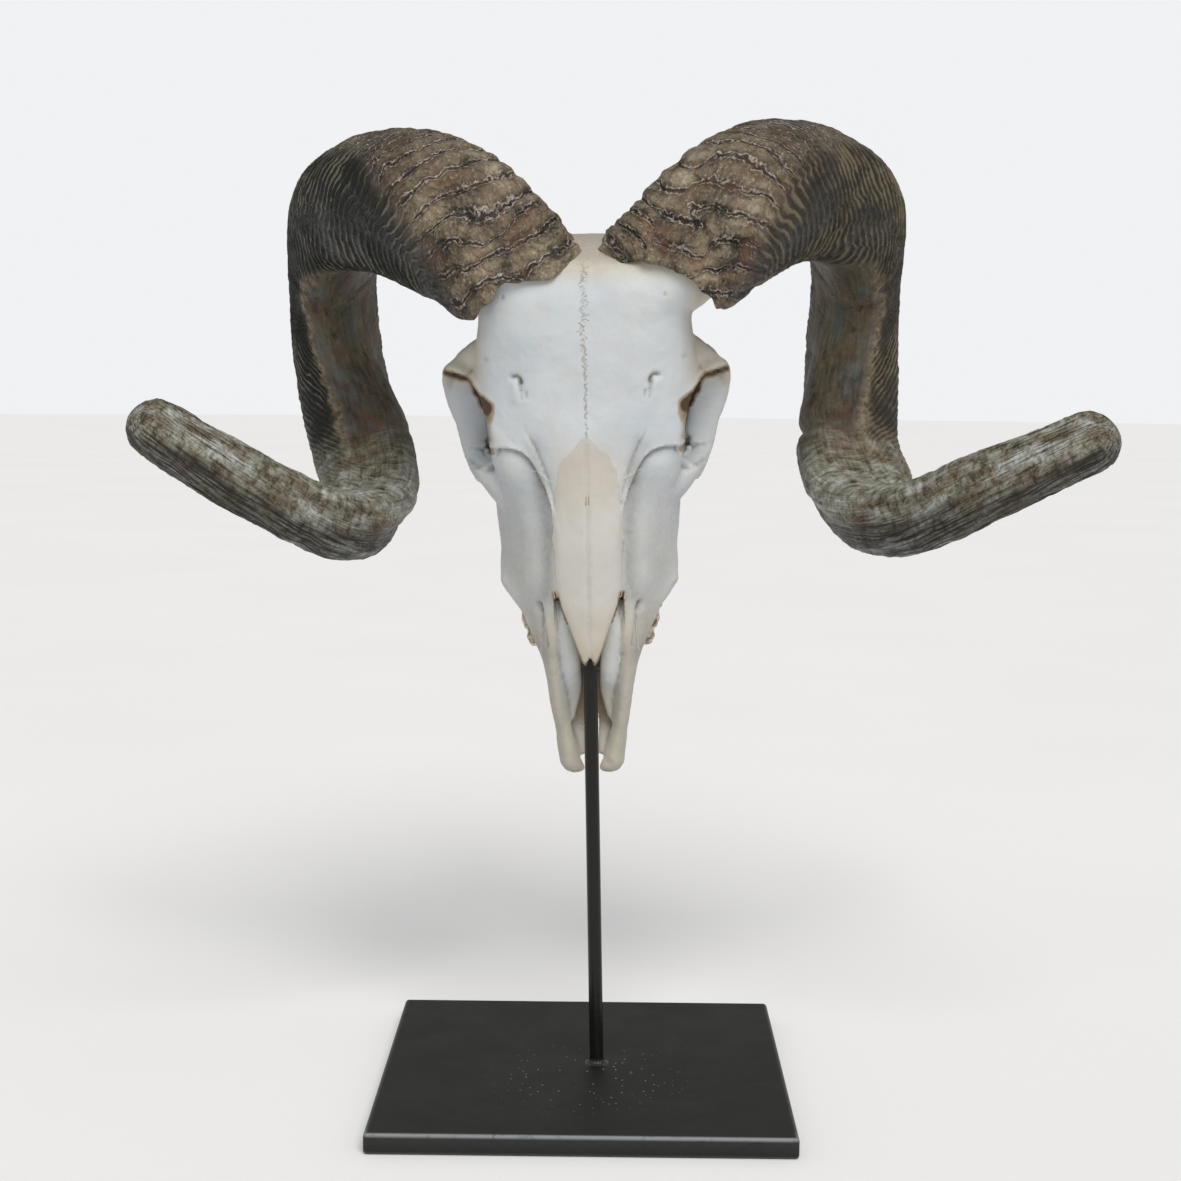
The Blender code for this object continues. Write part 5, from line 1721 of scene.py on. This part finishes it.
    def prism(self, outline: Table, front: float, back: float, side: int, by: float = 0.0,
              waver: float = 0.0) -> Item:
        """Carry an outline seen from the front from one depth to another.

        Args:
            outline: Corners as (across, height).
            front: Front depth.
            back: Back depth.
            side: Sign of x.
            by: Distance by which the outline is grown.
            waver: Size of the seam's wandering.

        Returns:
            The closed prism.
        """
        points = np.array(outline, float)
        following = np.roll(points, -1, axis=0)
        steps = 14 if waver else 1
        share = np.linspace(0, 1, steps, endpoint=False)[None, :, None]
        points = (points[:, None] + share * (following - points)[:, None]).reshape(-1, 2)
        if waver:
            track = np.stack([points[:, 0], points[:, 1], np.full(len(points), side * 31.0)], -1)
            wander = np.stack([lumps(track, 4.5, 2, 5), lumps(track, 4.5, 2, 6)], -1) * waver
            points = points + wander * (points[:, :1] > 0.5)
        area = np.sum(points[:, 0] * np.roll(points[:, 1], -1) - np.roll(points[:, 0], -1) * points[:, 1])
        edge = unit(np.roll(points, -1, axis=0) - points)
        out = np.stack([edge[:, 1], -edge[:, 0]], 1) * (1.0 if area > 0 else -1.0)
        before = np.roll(out, 1, axis=0)
        points = points + by * (out + before) / (1 + (out * before).sum(1, keepdims=True)).clip(0.35)
        size = len(points)
        near = np.stack([points[:, 0] * side, np.full(size, front), points[:, 1]], -1)
        far = near + np.array([0.0, back + by - front, 0.0])
        number = np.arange(size)
        after = (number + 1) % size
        walls = np.stack([number, after, size + after, size + number], -1).tolist()
        caps = [number.tolist(), (2 * size - 1 - number).tolist()]
        return new_object("prism", np.concatenate([near, far]), [*caps, *walls])

    def teeth(self, side: int) -> list[Array]:
        """Shape the cheek teeth of one side: soft blocks in a bowed row, with cusp grooves.

        Args:
            side: Sign of x.

        Returns:
            Rings of each tooth, shape (rings, sides, 3).
        """
        first, last = np.array(self.tooth_first, float), np.array(self.tooth_last, float)
        total = sum(self.tooth_lengths)
        start = 0.0
        made = []
        for number, length in enumerate(self.tooth_lengths):
            share = (start + 0.5 * length) / total
            start += length
            middle = first + (last - first) * share
            middle[0] += self.tooth_bow * math.sin(math.pi * share)
            radii = (self.tooth_half_width, self.tooth_crown, 0.52 * length)
            rings = soft_box(middle, radii, self.tooth_axes, 0.5, 40, 64)
            local = (rings - middle) @ np.array(self.tooth_axes).T
            lobes = 2 if number > 2 else 1
            groove = np.cos(2 * math.pi * lobes * local[..., 2] / length) ** 2
            pinch = 1 - 0.12 * (1 - groove) * smoothstep(0.0, 1.0, np.abs(local[..., 0]) / radii[0])
            local[..., 0] *= pinch
            biting = smoothstep(0.45, 1.0, local[..., 1] / radii[1])
            crescent = np.cos(2 * math.pi * local[..., 2] / length * lobes)
            local[..., 1] += 0.9 * biting * crescent * np.cos(math.pi * local[..., 0] / radii[0])
            rings = local @ np.array(self.tooth_axes) + middle
            rings[..., 0] *= side
            made.append(rings)
        return made

    def skin(self, lean: Matrix) -> Item:
        """Build the whole skull as one skin: masses fused, hollows cut, bars fused on.

        Args:
            lean: The skull's lean, taken off the horn cores, which are shaped in place.

        Returns:
            The skin, upright and in millimetres.
        """
        identity = np.eye(3)
        pieces = [self.head()]
        pieces += [ring_tube("mass", soft_box(*mass, identity)) for mass in (self.nape, self.floor)]
        for side in Side:
            sign = side.value
            core = ring_tube("core", HORNS[side].core(self.core_outer, *self.core_span))
            core.data.transform(lean.inverted())
            pieces.append(core)
            pieces.append(self.orbit_ring(sign))
            for rows in (self.eyebrow, self.cheek_bone, self.pterygoid, self.ear_spur):
                pieces.append(ring_tube("bar", ellipse_bar(rows, sign)))
            for (across, *place), radii in (self.condyle, self.bulla, self.tuber):
                pieces.append(ring_tube("mass", soft_box((across * sign, *place), radii, identity)))
        body = joined("body", pieces)
        fuse(body, GRAIN, 10)
        tools = [self.orbit_tool(side.value) for side in Side]
        tools += [self.nose_tool(), ring_tube("spine", ellipse_bar(self.spine_hole, 1))]
        tools += [self.prism(self.slit, *self.slit_depths, side.value) for side in Side]
        for tool in tools:
            boolean(body, tool, "DIFFERENCE")
        keep_largest(body)
        extra = [body]
        for side in Side:
            for rows in (self.postorbital, self.orbit_wall, self.muzzle, self.muzzle_floor, self.turbinate):
                extra.append(ring_tube("bar", ellipse_bar(rows, side.value)))
        whole = joined("skull", extra)
        fuse(whole, GRAIN, 3)
        return whole

    def sculpt(self, item: Item) -> None:
        """Soften the broad faces and raise or sink the marks along the surface's normals.

        Args:
            item: The skin.
        """
        points, edges = read_corners(item), read_edges(item)
        across, depth, height = np.abs(points[:, 0]), points[:, 1], points[:, 2]
        brow = smoothstep(46, 36, across) * smoothstep(322, 334, height) * smoothstep(406, 396, height)
        brow = brow * smoothstep(6, 0, depth)
        points = softened(points, edges, 24, brow * 0.8)
        write_points(item, points)
        normals = read_corners(item, "normal")
        move = np.zeros(len(points))
        for mark in self.marks:
            flat = np.stack([np.abs(points[:, 0]) if mark.mirrored else points[:, 0], points[:, 2]], -1)
            facing = smoothstep(0.15, -0.35, normals[:, 1]) * (points[:, 1] < mark.back)
            move += mark.height(flat) * facing
        wear = 0.22 * lumps(points, 9, 2, 3) + 0.08 * lumps(points, 3, 2, 4)
        points = points + (move + wear)[:, None] * normals
        write_points(item, points)

    def tint(self, item: Item) -> None:
        """Store where shade is painted, where a bone is creamy and where it is stained, worked out from its
        form and place.

        A corner is hollow where softening its surface lifts it outwards; shade is painted there.

        Args:
            item: The bone, upright and in millimetres.
        """
        points, edges, normals = read_corners(item), read_edges(item), read_corners(item, "normal")
        near = ((softened(points, edges, 6) - points) * normals).sum(1)
        wide = ((softened(points, edges, 60) - points) * normals).sum(1)
        hollow = 0.45 * smoothstep(0.05, 0.45, near) + 0.5 * smoothstep(0.5, 2.6, wide)
        edge = smoothstep(-0.5, -1.8, wide)
        across, depth, height = np.abs(points[:, 0]), points[:, 1], points[:, 2]
        flat = np.stack([across, height], -1)
        # Painted shade along the grey paths, added to the hollow number.
        for path, width, strength in self.grey:
            hollow += strength * np.exp(-((near_path(flat, path)[0] / width) ** 2)) * (depth < 60)
        brow = smoothstep(47, 57, across) * smoothstep(350, 357, height) * smoothstep(30, 20, depth)
        cream = 0.35 * edge + 0.95 * smoothstep(396, 407, height)
        cream += 0.7 * smoothstep(44, 54, across) * smoothstep(346, 354, height)
        cream += 0.65 * smoothstep(250, 225, height) * smoothstep(14.5, 17, across)
        bridge = smoothstep(24, 11, across + 3 * lumps(points, 8, 3, 5)) * smoothstep(332, 316, height)
        bridge = bridge * smoothstep(-4, -9, depth)
        cream += (0.3 - 0.3 * bridge) * smoothstep(305, 265, height)
        cream += 0.4 * smoothstep(205, 190, height) + 0.4 * brow
        ends = 0.4 * smoothstep(284, 306, height) + 0.35 * smoothstep(246, 228, height)
        cream += bridge * (0.15 + ends)
        # Painted shade on the palate floor inside the muzzle, as brown-grey; brown on the tooth rows, deeper
        # where shade is painted.
        inside = smoothstep(224, 214, height) * smoothstep(16.5, 14.5, across) * smoothstep(17, 23, depth)
        rows = smoothstep(262, 250, height) * smoothstep(30, 37, across) * smoothstep(16, 28, depth)
        rows += smoothstep(38, 48, depth) * smoothstep(300, 285, height)
        stain_and_shade = 0.25 * smoothstep(400, 411, height) + 0.62 * rows * (0.5 + 0.5 * hollow) + 0.46 * inside
        stain_and_shade += 0.3 * smoothstep(30, 60, depth) * smoothstep(300, 340, height)
        # Brown along the paths, mostly painted deep shade.
        for path, width, back, strength in self.brown:
            stain_and_shade += strength * np.exp(-((near_path(flat, path)[0] / width) ** 2)) * (depth < back)
        # Painted shade over the muzzle's end, on the crown and towards the back, less at the brow ends.
        muzzle = smoothstep(236, 216, height) * smoothstep(11, 15, across)
        hollow = hollow * (1 - 0.7 * brow) + 0.4 * muzzle + 0.5 * smoothstep(403, 413, height)
        hollow = np.clip(hollow + 0.15 * smoothstep(60, 90, depth), 0, 1)
        write_attribute(item, "hollow", hollow)
        write_attribute(item, "cream", np.clip(cream, 0, 1))
        write_attribute(item, "stain_and_shade", np.clip(stain_and_shade, 0, 1))

    def part_off(self, rest: Item, name: str, blocks: Sequence[tuple], side: int) -> Item:
        """Part one bone from the rest of the skull along a wandering seam.

        Args:
            rest: What is left of the skull.
            name: The bone's name.
            blocks: Outlines with their front and back depths.
            side: Sign of x.

        Returns:
            The bone.
        """
        bone = link_object(name, rest.data.copy())
        half = 0.5 * self.seam
        for target, task, by in ((bone, "INTERSECT", -half), (rest, "DIFFERENCE", half)):
            whole, *others = [self.prism(*block, side, by, self.seam_waver) for block in blocks]
            for other in others:
                boolean(whole, other, "UNION")
            boolean(target, whole, task)
        keep_largest(bone)
        return bone

    def build(self, ledger: Ledger) -> None:
        """Build, part, tint and place every bone and the cheek teeth.

        Args:
            ledger: Places the pieces.
        """
        bone = DryBone().material()
        nasal = DryBone(name="Dry cream nasal bone", pale="#c9c8c4", cool="#c5c4bf", cream="#bdb3a3",
                        suture=False).material()
        enamel = ToothEnamel().material()
        rest = self.skin(ledger.lean())
        self.sculpt(rest)
        wide = ROD_RADIUS + self.bore_play
        bore = ((0, 0, 10, wide, wide), (0, 0, ROD_TOP + self.bore_play, wide, wide))
        boolean(rest, ring_tube("bore", ellipse_bar(bore, 1, 4, 48)), "DIFFERENCE")
        self.tint(rest)
        nasal_block = ("nasal", ((self.nasal_outline, self.cut_front, self.nasal_back),))
        other_blocks = (
            ("premaxilla", self.premaxilla_blocks),
            ("zygoma", ((self.zygoma_outline, self.cut_front, self.cut_back),)),
            ("maxilla", ((self.maxilla_outline, self.cut_front, self.cut_back),)),
        )
        parts = []
        for blocks, material, slot in (((nasal_block,), nasal, Slot.NASAL), (other_blocks, bone, Slot.BONE)):
            for side in Side:
                for label, block in blocks:
                    made = self.part_off(rest, f"{label}_bone_{side.word}", block, side.value)
                    parts.append((made, material, slot, f"{label}_{side.word}"))
        keep_largest(rest)
        rest.name = "cranium_bone"
        parts.append((rest, bone, Slot.BONE, "cranium"))
        for item, material, slot, node in parts:
            ledger.place(item, material, slot, [node])
        for side in Side:
            rows = [ring_tube("tooth", rings) for rings in self.teeth(side.value)]
            row = joined(f"cheek_teeth_{side.word}", rows)
            ledger.place(row, enamel, Slot.BONE)


@dataclass
class Stand:
    """The square plate and the rod, with the weld at the rod's foot."""

    side: float = 200.0
    thick: float = 10.0
    edge: float = 1.9
    corner: float = 2.1
    foot_gap: float = 0.3
    weld_reach: float = 2.4
    weld_rise: float = 2.2
    weld_ripples: int = 23

    def plate(self) -> Item:
        """The plate: a square outline with small round corners, carried round a rolled edge.

        Returns:
            The plate, with a number that says where it is rubbed and where a highlight is painted.
        """
        turn = np.linspace(0, 0.5 * math.pi, 9)
        arc = np.stack([np.cos(turn), np.sin(turn)], -1)
        quarter = np.concatenate([arc, [[0.0, 1.0]]])
        middles = np.array([[1, 1], [-1, 1], [-1, -1], [1, -1]], float)
        outline, spread = [], []
        straight = np.linspace(0, 1, 26)[1:-1]
        for number, place in enumerate(middles):
            angle = number * 0.5 * math.pi
            spin = np.array([[math.cos(angle), math.sin(angle)], [-math.sin(angle), math.cos(angle)]])
            bend = quarter[:-1] @ spin
            here = place * (0.5 * self.side - self.corner)
            following = middles[(number + 1) % 4] * (0.5 * self.side - self.corner)
            outline.append(here + 0 * bend)
            spread.append(bend)
            outline.append(here + straight[:, None] * (following - here))
            spread.append(np.repeat(bend[-1:], len(straight), axis=0))
        base, out = np.concatenate(outline), np.concatenate(spread)
        roll = np.linspace(0, 0.5 * math.pi, 7)
        low = np.stack([self.corner - self.edge * (1 - np.sin(roll)), self.edge * (1 - np.cos(roll))], -1)
        high = low[::-1] * [1, -1] + [0, self.thick]
        profile = np.concatenate([low, high])
        rings = np.concatenate(
            [base[None] + profile[:, :1, None] * out[None],
             np.broadcast_to(profile[:, 1:, None], (len(profile), len(base), 1))],
            -1,
        )
        inset = np.array([0.12, 0.4, 0.7, 0.9, 0.97, 0.99])[:, None, None]
        below = rings[:1] * [1, 1, 0] * inset
        above = rings[-1:] * [1, 1, 0] * inset[::-1] + [0, 0, self.thick]
        rings = np.concatenate([below, rings, above])
        item = ring_tube("steel_plate", rings)
        points = read_corners(item)
        rim = np.minimum(points[:, 2], self.thick - points[:, 2])
        reach = np.abs(points[:, :2]).max(1)
        half = 0.5 * self.side
        worn = smoothstep(half - 2.2, half - 0.8, reach) * smoothstep(2.2, 0.2, rim)
        # Painted highlight: the front top edge gets the pale colour in full.
        facing = smoothstep(-half + 4, -half + 1, points[:, 1]) * (points[:, 2] > 0.5 * self.thick)
        worn = worn * (0.22 + 0.78 * facing)
        write_attribute(item, "worn", worn)
        return item

    def rod(self) -> Item:
        """The round rod, upright, with eased ends.

        Returns:
            The rod, with a number that says where it is rubbed.
        """
        low, high = self.thick + self.foot_gap, ROD_TOP
        length = np.linspace(low + 3, high - 3, 60)
        height = np.r_[low, low + 0.25, low + 0.6, length, high - 0.6, high - 0.25, high]
        ease = np.r_[0.5, 0.15, 0.0, np.zeros(60), 0.0, 0.15, 0.5]
        angle = round_angles(64)
        radius = (ROD_RADIUS - ease)[:, None]
        rings = np.stack([radius * np.cos(angle), radius * np.sin(angle), height[:, None] * np.ones(64)], -1)
        item = ring_tube("steel_rod", rings)
        points = read_corners(item)
        write_attribute(item, "worn", 0.12 * smoothstep(2.5, 0.5, points[:, 2] - low))
        return item

    def weld(self, foot_x: float) -> Item:
        """The weld bead round the rod's foot: a concave fillet with ripples round it.

        Args:
            foot_x: Where the rod stands across the plate.

        Returns:
            The closed bead.
        """
        angle = round_angles(96)
        roll = np.linspace(0, 0.5 * math.pi, 9)
        ripple = 1 + 0.10 * np.sin(self.weld_ripples * angle)
        radius = ROD_RADIUS + 0.15 + self.weld_reach * ripple * (1 - np.sin(roll))[:, None]
        height = self.thick + 0.02 + self.weld_rise * ripple * (1 - np.cos(roll))[:, None]
        outside = np.stack([foot_x + radius * np.cos(angle), radius * np.sin(angle), height], -1)
        inner = np.full((2, 96), ROD_RADIUS + 0.1)
        levels = np.array([[self.thick + 2.0], [self.thick + 0.02]]) * np.ones(96)
        inside = np.stack([foot_x + inner * np.cos(angle), inner * np.sin(angle), levels], -1)
        loop = np.concatenate([outside, inside])
        item = new_object("rod_foot_weld", loop.reshape(-1, 3), wall_faces(len(loop), 96, closed=True))
        write_attribute(item, "worn", np.full(len(item.data.vertices), 0.08))
        return item

    def build(self, ledger: Ledger) -> None:
        """Build and place the stand's pieces.

        Args:
            ledger: Places the pieces.
        """
        steel = BlackenedSteel().material()
        rod_steel = BlackenedSteel(name="Blackened steel rod", roughness=0.18, dust=None).material()
        ledger.place(self.plate(), steel, Slot.STEEL, ["stand_base"], leaned=False)
        ledger.place(self.rod(), rod_steel, Slot.STEEL, ["stand_rod"])
        ledger.place(self.weld(ledger.foot[0]), rod_steel, Slot.STEEL, leaned=False)


@dataclass
class Studio:
    """Camera at the photograph's viewing angle, pale floor and soft light."""

    camera_place: tuple = (0.0094, -0.992, 0.359)
    pitch: float = 6.27
    yaw: float = 0.467
    roll: float = 0.5
    focal_pixels: float = 2025.0
    sensor: float = 36.0
    floor_radius: float = 14.0
    floor_colour: str = "#fefefe"
    floor_shade: str = "#fcfcfc"
    key_elevation: float = 48.0
    key_turn: float = 14.0
    key_power: float = 2.05
    key_softness: float = 38.0
    sky_strength: float = 0.40
    backdrop: float = 0.90

    def camera(self) -> None:
        """Place the camera: turned to its yaw, tipped down by its pitch and rolled."""
        data = bpy.data.cameras.new("camera")
        data.sensor_width = self.sensor
        data.lens = self.focal_pixels / PHOTO_SIDE * self.sensor
        item = link_object("camera", data)
        turn = Matrix.Rotation(math.radians(self.yaw), 4, "Z")
        tip = Matrix.Rotation(math.radians(90 - self.pitch), 4, "X")
        item.matrix_world = Matrix.Translation(self.camera_place) @ turn @ tip @ Matrix.Rotation(
            math.radians(self.roll), 4, "Z")
        bpy.context.scene.camera = item

    def floor(self) -> None:
        """Lay the round pale floor."""
        angle = round_angles(96)
        ring = np.stack([np.cos(angle), np.sin(angle), 0 * angle], -1) * self.floor_radius
        mesh = bpy.data.meshes.new("floor")
        mesh.from_pydata(ring.tolist(), [], [list(range(96))])
        item = link_object("floor", mesh)
        made, shader, add = new_material("Matt paper floor")
        tone = add(Kind.EASE, add(Kind.NOISE, add(Kind.PLACE), 1 / (400 * MM), 2, 0.55), 0.3, 0.7)
        colour = add(Kind.MIX, tone, linear(self.floor_colour), linear(self.floor_shade))
        made.node_tree.links.new(colour, shader.inputs["Base Color"])
        shader.inputs["Roughness"].default_value = 0.9
        mesh.materials.append(made)

    def light(self) -> None:
        """Set the broad soft key light, from above the camera, and the pale surround."""
        data = bpy.data.lights.new("key", "SUN")
        data.energy = self.key_power
        data.angle = math.radians(self.key_softness)
        data.color = linear("#fffcf7")[:3]
        item = link_object("key", data)
        item.matrix_world = Matrix.Rotation(math.radians(self.key_turn), 4, "Z") @ Matrix.Rotation(
            math.radians(90 - self.key_elevation), 4, "X")
        world = bpy.data.worlds.new("pale surround")
        bpy.context.scene.world = world
        world.use_nodes = True
        tree = world.node_tree
        seen = add_node(tree, Kind.SEEN)
        strength = add_node(tree, Kind.RANGE, seen, 0.0, 1.0, self.sky_strength, self.backdrop)
        back = tree.nodes["Background"]
        back.inputs["Color"].default_value = linear("#fcfdff")
        tree.links.new(strength, back.inputs["Strength"])

    def build(self) -> None:
        """Set up the camera, the floor and the light."""
        self.camera()
        self.floor()
        self.light()
        bpy.context.scene.view_settings.view_transform = "Standard"


def main() -> None:
    """Build the studio, the stand, both horns and the skull, in that order."""
    logging.basicConfig(level=logging.INFO, format="%(message)s")
    Studio().build()
    ledger = Ledger()
    Stand().build(ledger)
    browner = ((0.12, "#1a160f"), (0.42, "#302a1f"), (0.72, "#463f30"), (1.0, "#6b614c"))
    finishes = {
        Side.LEFT: HornKeratin(name="Dark horn keratin"),
        Side.RIGHT: HornKeratin(name="Brown horn keratin", thin=1.4, lateral=browner),
    }
    for side, horn in HORNS.items():
        ledger.place(horn.build(), finishes[side].material(), Slot.HORN, [f"horn_{side.word}"], leaned=False)
    Skull().build(ledger)
    LOG.info("%d pieces", ledger.count)


if __name__ == "__main__":
    main()
